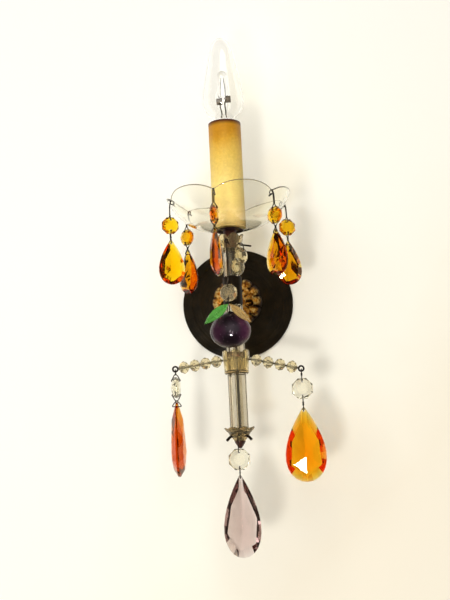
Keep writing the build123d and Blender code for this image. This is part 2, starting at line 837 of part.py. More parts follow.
# Terminal block on the tab, and the two leads through the arm and the stem
terminal_top = -bracket_width / 2 - bracket_tab + terminal_height + wire
with BuildPart() as terminal_block:
    with BuildSketch(Plane.XZ.offset(bracket_thickness)):
        with Locations((0, terminal_top - terminal_height / 2)):
            Rectangle(terminal_width, terminal_height)
    extrude(amount=terminal_depth)
    with BuildSketch(Plane.XZ.offset(bracket_thickness + terminal_depth)):
        with Locations((0, terminal_top - terminal_height / 2)):
            with GridLocations(terminal_width / 2, 1, 2, 1):
                Circle(terminal_width / 8)
    extrude(amount=-terminal_depth / 3, mode=Mode.SUBTRACT)
save(terminal_block.part, "terminal_block")
lead_top = socket_bottom + socket_floor - contact_height / 2
with BuildPart() as lead_wires:
    for side in (-1, 1):
        x = side * lead_pitch / 2
        route = [
            (x, -lead_drop_y, terminal_top),
            (x, -lead_drop_y, 0),
            (x, -stem_out, 0),
            (x, -stem_out, lead_top),
        ]
        with BuildLine() as run:
            FilletPolyline(*route, radius=(lead_diameter * 2, lead_bend))
        with BuildSketch(Plane(origin=run.line @ 0, z_dir=run.line % 0)):
            Circle(lead_diameter / 2)
        sweep(path=run.line)
save(lead_wires.part, "lead_wires")

# Branches: a stiff wire each side with an eye at its end, and faceted beads on it
branch_sides = (
    (-1, left_branch_reach, left_branch_fall),
    (1, right_branch_reach, right_branch_fall),
)
inner_reach = column_diameter / 2 + wire_gap
bead_hole = branch_wire + 2 * fit_gap
with BuildPart() as branch_wires:
    for side, reach, fall in branch_sides:
        start = Vector(side * inner_reach, -stem_out, branch_z)
        elbow = Vector(side * branch_start, -stem_out, branch_z)
        eye = Vector(side * reach, -stem_out, branch_z - fall)
        along = (eye - elbow).normalized()
        with BuildSketch(Plane(origin=start, z_dir=(side, 0, 0))):
            Circle(branch_wire / 2)
        extrude(amount=branch_start - inner_reach)
        with Locations(elbow):
            Sphere(branch_wire / 2)
        with BuildSketch(Plane(origin=elbow, z_dir=along)):
            Circle(branch_wire / 2)
        extrude(amount=(eye - elbow).length - eye_radius)
        with Locations(Plane(origin=eye, z_dir=(0, 1, 0))):
            Torus(eye_radius, branch_wire / 2)
save(branch_wires.part, "branch_wires")


def faceted_bead(axis_plane):
    with BuildPart() as bicone:
        for place, share in ((-0.5, 0.42), (-0.1, 1.0), (0.1, 1.0), (0.5, 0.42)):
            with BuildSketch(axis_plane.offset(place * branch_bead_length)):
                RegularPolygon(branch_bead_diameter / 2 * share, 8)
        loft(ruled=True)
        with BuildSketch(axis_plane):
            Circle(bead_hole / 2)
        extrude(amount=branch_bead_length, both=True, mode=Mode.SUBTRACT)
    return bicone.part


with BuildPart() as branch_beads:
    for side, reach, fall in branch_sides:
        elbow = Vector(side * branch_start, -stem_out, branch_z)
        eye = Vector(side * reach, -stem_out, branch_z - fall)
        along = (eye - elbow).normalized()
        room = (eye - elbow).length - eye_radius - branch_wire / 2
        pitch = room / branch_bead_count
        for k in range(branch_bead_count):
            middle = elbow + along * (pitch * (k + 0.5))
            add(faceted_bead(Plane(origin=middle, z_dir=along)))
save(branch_beads.part, "branch_beads")

# Pendants round the dish, each on a bent wire through the hole in the glass
small_half = small_octagon_thickness / 2 + wire_gap + wire / 2
with BuildPart() as rim_hooks:
    for k in range(rim_places):
        angle = dish_turn + (k - 2) * notch_pitch
        plane = facing(stem_point(angle, rim_reach, dish_hole_z - rim_hang), outward(angle))
        entry = [
            stem_point(angle, dish_hole_reach - dish_wall * 2.4, dish_hole_z - wire * 1.5),
            stem_point(angle, dish_hole_reach - dish_wall * 2.4, dish_hole_z),
            stem_point(angle, rim_reach, dish_hole_z),
            stem_point(angle, rim_reach, dish_hole_z - rim_hang + small_half * 1.6),
        ]
        add(bent_wire(hook_points(plane, small_half, small_half * 0.6, entry), wire, wire_bend))
save(rim_hooks.part, "rim_hooks")
for k in range(rim_places):
    angle = dish_turn + (k - 2) * notch_pitch
    plane = facing(stem_point(angle, rim_reach, dish_hole_z - rim_hang), outward(angle))
    pendant(
        f"rim_{k + 1}",
        plane,
        small_octagon,
        small_octagon_thickness,
        small_hole_edge,
        rim_link,
        rim_drop_width,
        rim_drop_length,
        rim_drop_thickness,
    )

# Pendants below the branches, on wires through the eyes
large_half = large_octagon_thickness / 2 + wire_gap + wire / 2
left_eye = Vector(-left_branch_reach, -stem_out, branch_z - left_branch_fall)
right_eye = Vector(right_branch_reach, -stem_out, branch_z - right_branch_fall)
left_plane = facing(left_eye - Vector(0, 0, left_hang), Vector(0, -1, 0))
right_plane = facing(right_eye - Vector(0, 0, right_hang), Vector(1, 0, 0))
eye_step = branch_wire / 2 + wire_gap + wire / 2
with BuildPart() as branch_hooks:
    left_entry = [
        left_eye + Vector(0, eye_step + wire, -wire),
        left_eye + Vector(0, eye_step + wire, 0),
        left_eye - Vector(0, eye_step + wire, 0),
        left_eye - Vector(0, eye_step + wire, left_hang * 0.35),
    ]
    add(bent_wire(hook_points(left_plane, large_half, left_hang * 0.4, left_entry), wire, wire_bend * 0.5))
    right_entry = [
        right_eye + Vector(0, eye_step + wire, -wire),
        right_eye + Vector(0, eye_step + wire, 0),
        right_eye - Vector(0, large_half, 0),
    ]
    right_pin = [right_plane.from_local_coords(p) for p in ((0, 0, large_half), (0, 0, -large_half))]
    add(bent_wire(right_entry + right_pin, wire, wire_bend * 0.5))
save(branch_hooks.part, "branch_hooks")
large_sizes = (large_octagon, large_octagon_thickness, large_hole_edge)
large_drop = (large_drop_width, large_drop_length, large_drop_thickness)
pendant("left", left_plane, *large_sizes, left_link, *large_drop)
pendant("right", right_plane, *large_sizes, right_link, *large_drop)

# Centre pendant and the wire pins of the crowns
centre_point = stem_point(tip_crown_turn, centre_reach, tip_hole_z - centre_hang)
centre_plane = facing(centre_point, Vector(1, 0, 0))
pendant(
    "centre",
    centre_plane,
    *large_sizes,
    centre_link,
    centre_drop_width,
    centre_drop_length,
    centre_drop_thickness,
)
left_strand_angle = crown_turn - notch_pitch
right_strand_angle = crown_turn + notch_pitch
free_pin_angle = crown_turn + 2 * notch_pitch
pin_start = collar_diameter / 2 + wire
with BuildPart() as crown_pins:
    for angle, hang in ((left_strand_angle, left_strand_hang), (right_strand_angle, right_strand_hang)):
        far = strand_reach + small_half
        near = upper_column_diameter / 2 + wire_gap
        run = [
            stem_point(angle, pin_start, upper_hole_z),
            stem_point(angle, far, upper_hole_z),
            stem_point(angle, far, upper_hole_z - hang),
            stem_point(angle, near, upper_hole_z - hang),
        ]
        add(bent_wire(run, wire, wire_bend))
    plum_pin = [
        stem_point(crown_turn, pin_start, upper_hole_z),
        stem_point(crown_turn, plum_reach + wire * 2, upper_hole_z),
        stem_point(crown_turn, plum_reach + wire * 2, upper_hole_z + wire * 2.5),
    ]
    add(bent_wire(plum_pin, wire, wire_bend))
    free_pin_start = stem_point(free_pin_angle, pin_start, upper_hole_z)
    with BuildSketch(Plane(origin=free_pin_start, z_dir=outward(free_pin_angle))):
        Circle(wire / 2)
    extrude(amount=upper_crown_rim)
    centre_run = [
        stem_point(tip_crown_turn, tip_crown_foot + wire, tip_hole_z),
        Vector(centre_point.X, centre_point.Y - large_half, tip_hole_z),
        Vector(centre_point.X, centre_point.Y - large_half, centre_point.Z),
        Vector(centre_point.X, centre_point.Y + large_half, centre_point.Z),
    ]
    add(bent_wire(centre_run, wire, wire_bend))
    for side in (-1, 1):
        angle = tip_crown_turn + side * notch_pitch
        run = [
            stem_point(angle, tip_crown_foot + wire, tip_hole_z),
            stem_point(angle, tip_crown_rim - wire, tip_hole_z),
            stem_point(angle, tip_crown_rim + wire * 3, tip_hole_z - wire * 5),
        ]
        add(bent_wire(run, wire, wire_bend))
save(crown_pins.part, "crown_pins")

# Strands of octagons that face outwards from the upper crown
small_centre = small_octagon / 2 - small_hole_edge


def strand_octagon(angle, reach, hole_z):
    across = outward(angle + 90)
    centre = stem_point(angle, reach, hole_z - small_centre)
    return octagon_crystal(facing(centre, across), small_octagon, small_octagon_thickness, small_hole_edge)


left_strand_z = upper_hole_z - left_strand_hang
right_strand_z = upper_hole_z - right_strand_hang
save(strand_octagon(left_strand_angle, strand_reach, left_strand_z), "left_strand_bead")
save(strand_octagon(right_strand_angle, strand_reach, right_strand_z), "right_strand_bead_upper")
upper_bead_hole = stem_point(right_strand_angle, strand_reach, right_strand_z - 2 * small_centre)
lower_bead_hole = upper_bead_hole + Vector(strand_step_x, strand_step_y, strand_step_z)
lower_bead_plane = facing(lower_bead_hole - Vector(0, 0, small_centre), Vector(1, 0, 0))
save(
    octagon_crystal(lower_bead_plane, small_octagon, small_octagon_thickness, small_hole_edge),
    "right_strand_bead_lower",
)
pin_out = outward(right_strand_angle)
strand_run = [
    upper_bead_hole - pin_out * (small_half - wire_gap),
    upper_bead_hole + pin_out * small_half,
    lower_bead_hole + Vector(0, small_half, 0),
    lower_bead_hole - Vector(0, small_half, 0),
]
save(bent_wire(strand_run, wire, wire_bend * 0.6), "strand_link")

# Plum on its long wire: the wire's eye rides on the front pin, its foot holds an octagon
plum_top_hole = stem_point(crown_turn, plum_reach, upper_hole_z - plum_hang)
plum_across = outward(crown_turn + 90)
plum_plane = facing(plum_top_hole, plum_across)
eye_mean = wire * 1.4
with BuildPart() as plum_wire:
    with Locations(Plane(origin=stem_point(crown_turn, plum_reach, upper_hole_z), z_dir=outward(crown_turn))):
        Torus(eye_mean, wire / 2)
    eye_foot = [plum_plane.from_local_coords((0, plum_hang - eye_mean, 0))]
    straight = [plum_plane.from_local_coords((0, small_half * 1.6, 0))]
    foot = hook_points(plum_plane, small_half, small_half * 0.6, eye_foot + straight)
    add(bent_wire(foot, wire, wire_bend))
save(plum_wire.part, "plum_wire")
plum_octagon_plane = facing(plum_plane.from_local_coords((0, -small_centre, 0)), plum_across)
save(
    octagon_crystal(plum_octagon_plane, small_octagon, small_octagon_thickness, small_hole_edge),
    "plum_bead",
)
plum_hole = plum_plane.from_local_coords((0, -2 * small_centre, 0))
link_plane = facing(plum_hole, plum_across)
plum_top = plum_wire_depth - plum_link_length
plum_run = [
    (0, 0, -small_half),
    (0, 0, small_half),
    (0, -small_hole_edge * 1.3, small_half),
    (0, -small_hole_edge * 2.4, 0),
    (0, -plum_link_length, 0),
]
save(bent_wire([link_plane.from_local_coords(p) for p in plum_run], wire, wire_bend * 0.7), "plum_link")
plum_sections = (
    (0.0, 0.10),
    (0.10, 0.50),
    (0.27, 0.82),
    (0.52, 1.00),
    (0.75, 0.90),
    (0.92, 0.58),
    (1.0, 0.22),
)
plum_centre = link_plane.from_local_coords((0, plum_top, 0))
with BuildPart() as plum:
    for fall, share in plum_sections:
        place = Plane(origin=plum_centre - Vector(0, 0, fall * plum_height), x_dir=plum_across)
        with BuildSketch(place):
            Ellipse(plum_width / 2 * share, plum_thickness / 2 * share)
    loft()
    with BuildSketch(Plane(origin=plum_centre)):
        Circle(wire / 2 + fit_gap)
    extrude(amount=-plum_wire_depth - fit_gap, mode=Mode.SUBTRACT)
save(plum.part, "plum")


def leaf(side, name):
    """Pointed glass leaf from the wire above the plum down over its shoulder."""
    base = link_plane.from_local_coords((side * wire * 0.7, leaf_root, wire * 2.2))
    tip_place = (side * leaf_length * 0.68, leaf_root - leaf_length * 0.62, plum_thickness / 2 + leaf_stand)
    tip = link_plane.from_local_coords(tip_place)
    along = (tip - base).normalized()
    across = along.cross(link_plane.z_dir).normalized()
    normal = along.cross(across).normalized()
    with BuildPart() as blade:
        with BuildSketch(Plane(origin=base, x_dir=along, z_dir=normal)):
            with BuildLine():
                ThreePointArc((0, 0), (leaf_length * 0.45, leaf_width / 2), (leaf_length, 0))
                ThreePointArc((0, 0), (leaf_length * 0.45, -leaf_width / 2), (leaf_length, 0))
            make_face()
        extrude(amount=leaf_thickness / 2, both=True)
    save(blade.part, name)


leaf(-1, "green_leaf")
leaf(1, "clear_leaf")
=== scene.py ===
# Crystal wall sconce: a candle lamp in a glass dish on a glass stem, with two beaded branches and hanging
# crystals. Shapes are made in millimetres in the part's own frame: the wall is y = 0, the front faces -Y, and
# Z is up.
import json
from math import asin, atan2, cos, hypot, pi, radians, sin, sqrt, tan

import bmesh
import bpy
from mathutils import Matrix, Vector, noise


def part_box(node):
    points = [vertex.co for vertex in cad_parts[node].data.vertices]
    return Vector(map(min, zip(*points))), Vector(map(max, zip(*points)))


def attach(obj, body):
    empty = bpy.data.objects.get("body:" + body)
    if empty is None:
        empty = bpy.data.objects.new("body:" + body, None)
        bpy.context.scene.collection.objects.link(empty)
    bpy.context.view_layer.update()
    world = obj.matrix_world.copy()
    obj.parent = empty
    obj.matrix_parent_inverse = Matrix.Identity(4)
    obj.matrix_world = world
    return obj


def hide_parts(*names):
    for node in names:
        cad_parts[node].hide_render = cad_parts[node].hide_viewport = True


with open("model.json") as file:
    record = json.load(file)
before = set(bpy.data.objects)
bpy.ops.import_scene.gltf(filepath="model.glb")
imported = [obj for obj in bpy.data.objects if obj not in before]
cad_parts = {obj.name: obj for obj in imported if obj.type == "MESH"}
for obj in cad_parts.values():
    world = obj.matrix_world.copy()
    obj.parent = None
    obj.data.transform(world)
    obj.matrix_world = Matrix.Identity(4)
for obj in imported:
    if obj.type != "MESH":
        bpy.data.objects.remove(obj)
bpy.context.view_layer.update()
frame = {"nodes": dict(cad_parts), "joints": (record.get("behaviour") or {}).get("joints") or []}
cadNodes = frame["nodes"]
joints = {joint["name"]: joint for joint in frame["joints"]}
mm = 0.001
stemOut = 88  # how far the stem's axis stands off the wall
stemPlace = Matrix.Translation((0, -stemOut, 0))  # from the stem's axis to the part's frame
wallPlace = Matrix.Rotation(radians(90), 4, "X")  # a shape spun about Z then faces the front


def hexColour(code):
    # a colour written as #rrggbb, in linear light
    channels = [int(code[k:k + 2], 16) / 255 for k in (1, 3, 5)]
    return [c / 12.92 if c <= 0.04045 else ((c + 0.055) / 1.055) ** 2.4 for c in channels] + [1]


def addNode(tree, kind, inputs=None, **settings):
    node = tree.nodes.new("ShaderNode" + kind)
    for name, value in settings.items():
        setattr(node, name, value)
    for name, value in (inputs or {}).items():
        if isinstance(value, bpy.types.NodeSocket):
            tree.links.new(value, node.inputs[name])
        else:
            node.inputs[name].default_value = value
    return node


def newMaterial(name):
    material = bpy.data.materials.new(name)
    material.use_nodes = True
    material.node_tree.nodes.clear()
    return material, material.node_tree


def rampColour(tree, factor, stops):
    ramp = addNode(tree, "ValToRGB", {"Fac": factor})
    elements = ramp.color_ramp.elements
    while len(elements) < len(stops):
        elements.new(0.5)
    for element, (place, code) in zip(elements, stops):
        element.position = place
        element.color = hexColour(code)
    return ramp.outputs["Color"]


def mixColour(tree, share, first, second):
    return addNode(tree, "Mix", {0: share, 6: first, 7: second}, data_type="RGBA").outputs[2]


def rampValue(tree, factor, low, high, fromLow=0.0, fromHigh=1.0):
    # goes from low to high while the factor goes from fromLow to fromHigh
    return addNode(tree, "MapRange", {
        "Value": factor, "From Min": fromLow, "From Max": fromHigh, "To Min": low, "To Max": high,
    }).outputs["Result"]


def noiseAt(tree, vector, millimetres, detail=3, rough=0.55):
    # a noise whose lumps are about this wide
    return addNode(tree, "TexNoise", {
        "Vector": vector, "Scale": 1 / (millimetres * mm), "Detail": detail, "Roughness": rough,
    }).outputs["Fac"]


def bumpFrom(tree, height, depth):
    # the bump of a pattern that is this many millimetres deep
    return addNode(tree, "Bump", {"Height": height, "Distance": depth * mm}).outputs["Normal"]


def distanceFrom(tree, axes):
    # how far a place is from the Y axis
    flat = addNode(tree, "CombineXYZ", {"X": axes.outputs["X"], "Z": axes.outputs["Z"]}).outputs["Vector"]
    return addNode(tree, "VectorMath", {0: flat}, operation="LENGTH").outputs["Value"]


def metalMaterial(name, low, high, grain, rough, metallic=1.0, bump=0.02, rings=0.0, coat=0.0, gloss=0.5):
    # low and high are the tarnished and the bright tone, mixed by a noise of the given grain, and rough is
    # the roughness of the smoothest and of the dullest spots
    material, tree = newMaterial(name)
    place = addNode(tree, "TexCoord").outputs["Object"]
    patches = noiseAt(tree, place, grain, 5, 0.62)
    fine = noiseAt(tree, place, grain / 9, 4, 0.6)
    tone = rampColour(tree, patches, ((0.32, low), (0.68, high)))
    height = fine
    if rings:  # turning marks left by the spinning tool, that many millimetres apart
        reach = distanceFrom(tree, addNode(tree, "SeparateXYZ", {"Vector": place}))
        turns = addNode(tree, "Math", {0: reach, 1: 2 * pi / (rings * mm)}, operation="MULTIPLY").outputs[0]
        wave = addNode(tree, "Math", {0: turns}, operation="SINE").outputs[0]
        height = addNode(tree, "Math", {0: wave, 1: 0.5, 2: fine}, operation="MULTIPLY_ADD").outputs[0]
    shader = addNode(tree, "BsdfPrincipled", {
        "Base Color": tone,
        "Metallic": metallic,
        "Roughness": rampValue(tree, fine, *rough, 0.3, 0.7),
        "Specular IOR Level": gloss,
        "Normal": bumpFrom(tree, height, bump),
        "Coat Weight": coat,
        "Coat Roughness": 0.12,
    })
    addNode(tree, "OutputMaterial", {"Surface": shader.outputs["BSDF"]})
    return material


def glassMaterial(
    name, tint, deep, density, wave, bump=0.004, rough=0.0, smear=0.03, shadow=None, cloud=0.0, gloss=0.5,
):
    # tint is the colour at the surface, and deep is what a long way through the glass lets by. wave is the
    # width of its ripples, smear adds roughness in patches, cloud is milkiness, and shadow is the colour of
    # a shadow that lets light by
    material, tree = newMaterial(name)
    place = addNode(tree, "TexCoord").outputs["Object"]
    ripple = noiseAt(tree, place, wave, 2, 0.4)
    film = noiseAt(tree, place, wave * 2.3, 4, 0.6)
    shader = addNode(tree, "BsdfPrincipled", {
        "Base Color": hexColour(tint),
        "Roughness": rampValue(tree, film, rough, rough + smear, 0.45, 0.75),
        "IOR": 1.52,
        "Transmission Weight": 1.0 - cloud,
        "Specular IOR Level": gloss,
        "Specular Tint": hexColour(tint),
        "Normal": bumpFrom(tree, ripple, bump),
    })
    surface = shader.outputs["BSDF"]
    if shadow:
        through = addNode(tree, "BsdfTransparent", {"Color": hexColour(shadow)})
        rays = addNode(tree, "LightPath")
        surface = addNode(tree, "MixShader", {
            0: rays.outputs["Is Shadow Ray"], 1: surface, 2: through.outputs["BSDF"],
        }).outputs["Shader"]
    output = addNode(tree, "OutputMaterial", {"Surface": surface})
    if density:
        absorb = addNode(tree, "VolumeAbsorption", {"Color": hexColour(deep), "Density": density})
        tree.links.new(absorb.outputs["Volume"], output.inputs["Volume"])
    return material


# Spun brass under a dark bronze lacquer: near black, with fine turning marks that catch the light
bronzeLacquer = metalMaterial(
    "spunBronzeLacquer", "#15110a", "#261e10", 9, (0.4, 0.55),
    metallic=0.2, bump=0.03, rings=1.1, coat=0.05, gloss=0.25,
)
# Drawn brass that has darkened to brown, with a dull sheen
agedBrass = metalMaterial("agedBrass", "#4e3a1e", "#86683a", 9, (0.35, 0.5), metallic=0.8)
# The same brass, browner, on small screws
darkBrass = metalMaterial("brownedBrass", "#2a1a0c", "#5e421c", 3, (0.35, 0.5))
# Nickel plate on steel, a little dull
nickelPlate = metalMaterial("dullNickel", "#3a332c", "#6e6558", 6, (0.3, 0.45))
# Stamped steel under a dark purple-black stove enamel: smooth and glossy
darkEnamel = metalMaterial("purpleBlackEnamel", "#0c0610", "#1d0f1e", 7, (0.18, 0.3), metallic=0.0, coat=0.6)
# Annealed iron wire, blackened: matt, with brown spots
blackWire = metalMaterial("blackenedWire", "#120d0a", "#2c2018", 2, (0.4, 0.55), metallic=0.5, bump=0.03)
# Steel washers and nuts in an old maroon enamel, rubbed dull
maroonEnamel = metalMaterial(
    "maroonEnamel", "#2a100c", "#4c241a", 3, (0.35, 0.5), metallic=0.0, bump=0.04, coat=0.1,
)
# Iron tube and rod, browned and dull
darkIron = metalMaterial(
    "brownedIron", "#120e08", "#241c12", 5, (0.45, 0.6), metallic=0.2, bump=0.03, gloss=0.2,
)
# Zinc plate on stamped steel: pale grey and faintly patchy
zincPlate = metalMaterial("zincPlate", "#8b8d90", "#c2c4c6", 8, (0.3, 0.45))
# Bright nickel on the bulb's rolled cap
capNickel = metalMaterial("capNickel", "#a8a49c", "#dedad2", 6, (0.22, 0.35), metallic=0.6)
# Drawn brass of the lamp holder's shell, clean and yellow
shellBrass = metalMaterial("shellBrass", "#9a7a3a", "#d8b564", 6, (0.22, 0.35))
# Phenolic moulding: hard, black, faintly mottled
phenolic = metalMaterial("blackPhenolic", "#0d0c0b", "#201d1b", 4, (0.4, 0.55), metallic=0.0, bump=0.03)
# Rubber insulation of the leads: grey-cream and matt
leadRubber = metalMaterial("leadInsulation", "#a89f8e", "#cfc7b6", 3, (0.5, 0.65), metallic=0.0, bump=0.03)

# Pressed soda glass, almost colourless, with a slow wave
dishGlass = glassMaterial(
    "pressedDishGlass", "#fdfcf4", "#ffffff", 0, wave=7, bump=0.03, smear=0.04, shadow="#f4efe0",
)
# Ground edge of the dish: grey and slightly rough
groundRim = glassMaterial(
    "groundRim", "#b4a88c", "#ffffff", 0,
    wave=1.5, bump=0.03, rough=0.15, smear=0.1, shadow="#d8ceb8", cloud=0.2, gloss=0.3,
)
# Blown bulb glass, very thin: it shows only at its edges
bulbGlass = glassMaterial(
    "blownBulbGlass", "#ffffff", "#ffffff", 0, wave=9, bump=0.01, smear=0.02, shadow="#faf8f0", gloss=0.3,
)
# Fused quartz of the capsule: clear and smooth
capsuleGlass = glassMaterial("quartzCapsule", "#ffffff", "#ffffff", 0, wave=4, shadow="#faf8f0", gloss=0.3)
# Old cut glass with a straw tinge: pale in large octagons, stronger in the small ones by the stem
strawGlass = glassMaterial("strawCutGlass", "#fdfcf4", "#eae2bc", 35, wave=3, bump=0.006, cloud=0.04)
beadStraw = glassMaterial("strawStrandGlass", "#f8f0d0", "#d0bc70", 80, wave=3, bump=0.006, cloud=0.05)
# The same, milkier, so that it stays light before the dark plate
creamGlass = glassMaterial(
    "creamCutGlass", "#fbeeca", "#e4ce88", 45, wave=4, bump=0.012, cloud=0.13, gloss=0.8,
)
# Pressed glass cups, yellower than the beads, with wavy walls
crownGlass = glassMaterial(
    "strawCrownGlass", "#f6ecc8", "#c8aa50", 85, wave=4, bump=0.03, smear=0.05, shadow="#e8dcb8", cloud=0.05,
)
# Drawn glass tube, greyer, so that the rod shows dark inside it
columnGlass = glassMaterial(
    "strawColumnGlass", "#e8e2d2", "#ae9e78", 45, wave=6, bump=0.02, smear=0.04, shadow="#e8dec2", cloud=0.04,
)
# Moulded beads of creamy-yellow glass
beadGlass = glassMaterial(
    "creamBeadGlass", "#fdf6d8", "#ead07c", 40, wave=3, bump=0.01, smear=0.05, cloud=0.12,
)
# Cut glass coloured through its body: thin places are light, and long ways through are dark
yellowGlass = glassMaterial("yellowCutGlass", "#fffbe6", "#fff400", 675, wave=4, smear=0.02)
orangeGlass = glassMaterial("orangeCutGlass", "#fff6dc", "#fced00", 720, wave=4, smear=0.02)
goldGlass = glassMaterial("goldCutGlass", "#fff8e0", "#fef000", 640, wave=4, smear=0.02)
amberGlass = glassMaterial("amberCutGlass", "#fff8e0", "#feeb00", 480, wave=4, smear=0.02)
tawnyGlass = glassMaterial("tawnyCutGlass", "#ffcf78", "#fbe900", 400, wave=4, smear=0.02, gloss=0.2)
amethystGlass = glassMaterial("paleAmethystGlass", "#f8f0f0", "#d8c4c2", 80, wave=5, smear=0.02)
# Clear casing of the plum, faintly mauve
plumGlass = glassMaterial(
    "plumCasing", "#f2e6ee", "#9a7c96", 90,
    wave=6, bump=0.02, rough=0.03, smear=0.08, shadow="#8a6a80", gloss=0.2,
)
# Pressed leaves, rubbed matt: one green, one almost clear
greenGlass = glassMaterial(
    "greenLeafGlass", "#74c060", "#62b44a", 220,
    wave=2, bump=0.05, rough=0.22, smear=0.2, shadow="#9ccf8c", cloud=0.5, gloss=0.25,
)
oliveGlass = glassMaterial(
    "clearLeafGlass", "#dcc288", "#c8a868", 160,
    wave=2, bump=0.06, rough=0.14, smear=0.14, shadow="#e8dcc0", cloud=0.3, gloss=0.3,
)


def finishPiece(name, bm, material, body, replaced=(), sharp=30, place=None):
    # makes the shape an object in metres that rides on a body; edges bent more than sharp degrees stay crisp
    if place is not None:
        bmesh.ops.transform(bm, matrix=place, verts=bm.verts)
    bmesh.ops.scale(bm, vec=(mm, mm, mm), verts=bm.verts)
    bmesh.ops.remove_doubles(bm, verts=bm.verts, dist=2e-7)  # welds points that fell together
    bmesh.ops.recalc_face_normals(bm, faces=bm.faces)
    if bm.calc_volume(signed=True) < 0:  # inside out
        bmesh.ops.reverse_faces(bm, faces=bm.faces[:])
    mesh = bpy.data.meshes.new(name)
    bm.to_mesh(mesh)
    bm.free()
    mesh.shade_smooth()
    mesh.set_sharp_from_angle(angle=radians(sharp))
    mesh.materials.append(material)
    piece = bpy.data.objects.new(name, mesh)
    bpy.context.scene.collection.objects.link(piece)
    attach(piece, body)
    if replaced:
        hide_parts(*replaced)
    return piece


def smoothLine(points, spans=6):
    # a smooth run through the points, with each end kept
    ends = [Vector(p) for p in (points[0], *points, points[-1])]
    run = []
    for a, b, c, d in zip(ends, ends[1:], ends[2:], ends[3:]):
        square, cube = 2 * a - 5 * b + 4 * c - d, 3 * b - a - 3 * c + d
        for k in range(spans):
            t = k / spans
            run.append(0.5 * (2 * b + (c - a) * t + square * t**2 + cube * t**3))
    return run + [ends[-2]]


def spun(profile, steps, closed=True):
    # a profile of (radius, height) turned once about Z
    bm = bmesh.new()
    ring = [bm.verts.new((p[0], 0, p[1])) for p in profile]
    pairs = list(zip(ring, ring[1:]))
    if closed:
        pairs.append((ring[-1], ring[0]))
    edges = [bm.edges.new(pair) for pair in pairs]
    bmesh.ops.spin(bm, geom=ring + edges, axis=(0, 0, 1), angle=2 * pi, steps=steps, use_merge=True)
    bmesh.ops.remove_doubles(bm, verts=bm.verts, dist=0.002)  # welds the seam and what lies on the axis
    return bm


def addTo(bm, other, place=None):
    # moves another bmesh's shape into this one
    mesh = bpy.data.meshes.new("loose")
    if place is not None:
        bmesh.ops.transform(other, matrix=place, verts=other.verts)
    other.to_mesh(mesh)
    other.free()
    bm.from_mesh(mesh)
    bpy.data.meshes.remove(mesh)


def wireShape(points, diameter, smooth=4, sides=8):
    # round wire through the points, with its ends closed
    line = smoothLine(points, smooth)
    bm = bmesh.new()
    start = (line[1] - line[0]).normalized()
    turn = Vector((0, 0, 1)).rotation_difference(start).to_matrix().to_4x4()
    bmesh.ops.create_circle(
        bm, cap_ends=True, radius=diameter / 2, segments=sides, matrix=Matrix.Translation(line[0]) @ turn,
    )
    edges = bm.edges[:]
    direction = start
    for k in range(1, len(line)):
        following = (line[min(k + 1, len(line) - 1)] - line[k - 1]).normalized()
        made = bmesh.ops.extrude_edge_only(bm, edges=edges)["geom"]
        ring = [g for g in made if isinstance(g, bmesh.types.BMVert)]
        edges = [g for g in made if isinstance(g, bmesh.types.BMEdge)]
        bend = direction.rotation_difference(following).to_matrix()
        bmesh.ops.rotate(bm, cent=line[k - 1], matrix=bend, verts=ring)
        bmesh.ops.translate(bm, vec=line[k] - line[k - 1], verts=ring)
        direction = following
    bmesh.ops.contextual_create(bm, geom=edges)
    return bm


def facing(point, face):
    # matrix of a place whose x is across the crystal, y is up, and z is the way it faces
    across = Vector((-face.y, face.x, 0)).normalized()
    up = Vector((0, 0, 1))
    return Matrix.Translation(point) @ Matrix((across, up, across.cross(up))).transposed().to_4x4()


def outward(angle):
    # the way out from the stem's axis, at an angle from the front
    return Vector((sin(radians(angle)), -cos(radians(angle)), 0))


def stemPoint(angle, reach, z):
    # a place this far from the stem's axis, at an angle from the front
    return Vector((sin(radians(angle)) * reach, -stemOut - cos(radians(angle)) * reach, z))


def upperHalf(bm):
    # mirrors what is above z = 0 to make the back of a crystal
    bmesh.ops.mirror(bm, geom=bm.verts[:] + bm.edges[:] + bm.faces[:], merge_dist=0.001, axis="Z")


def octagonShape(across, thickness):
    # eight-sided bead: a girdle, a crown of triangular facets and a small table on each face
    bm = bmesh.new()
    corner = across / 2 / cos(pi / 8)
    bmesh.ops.create_circle(bm, segments=8, radius=corner)
    bmesh.ops.rotate(bm, matrix=Matrix.Rotation(pi / 8, 3, "Z"), verts=bm.verts)
    edges = bm.edges[:]
    rings = ((0.1, 1.0, 0), (0.34, 0.8, pi / 8), (0.5, 0.42, 0))  # height, size, and turn from the last
    for height, size, turn in rings:
        made = bmesh.ops.extrude_edge_only(bm, edges=edges)["geom"]
        ring = [g for g in made if isinstance(g, bmesh.types.BMVert)]
        edges = [g for g in made if isinstance(g, bmesh.types.BMEdge)]
        centre = sum((v.co for v in ring), Vector()) / len(ring)
        grow = corner * size / (ring[0].co - centre).length
        bmesh.ops.scale(bm, vec=(grow, grow, 1), verts=ring)
        bmesh.ops.rotate(bm, matrix=Matrix.Rotation(turn, 3, "Z"), verts=ring)
        bmesh.ops.translate(bm, vec=(0, 0, height * thickness - centre.z), verts=ring)
    bmesh.ops.contextual_create(bm, geom=edges)
    upperHalf(bm)
    bmesh.ops.triangulate(bm, faces=[f for f in bm.faces if len(f.verts) == 4 and abs(f.normal.z) > 0.05])
    return bm


def pearPoint(t, width, length):
    # a place on the outline of a pear drop, with its tip at t = 0
    bulge = width / 2 / (4 / (3 * sqrt(3)))  # what makes the widest place as wide as asked
    return Vector((bulge * sin(t) * abs(sin(t / 2)), length / 2 * cos(t), 0))


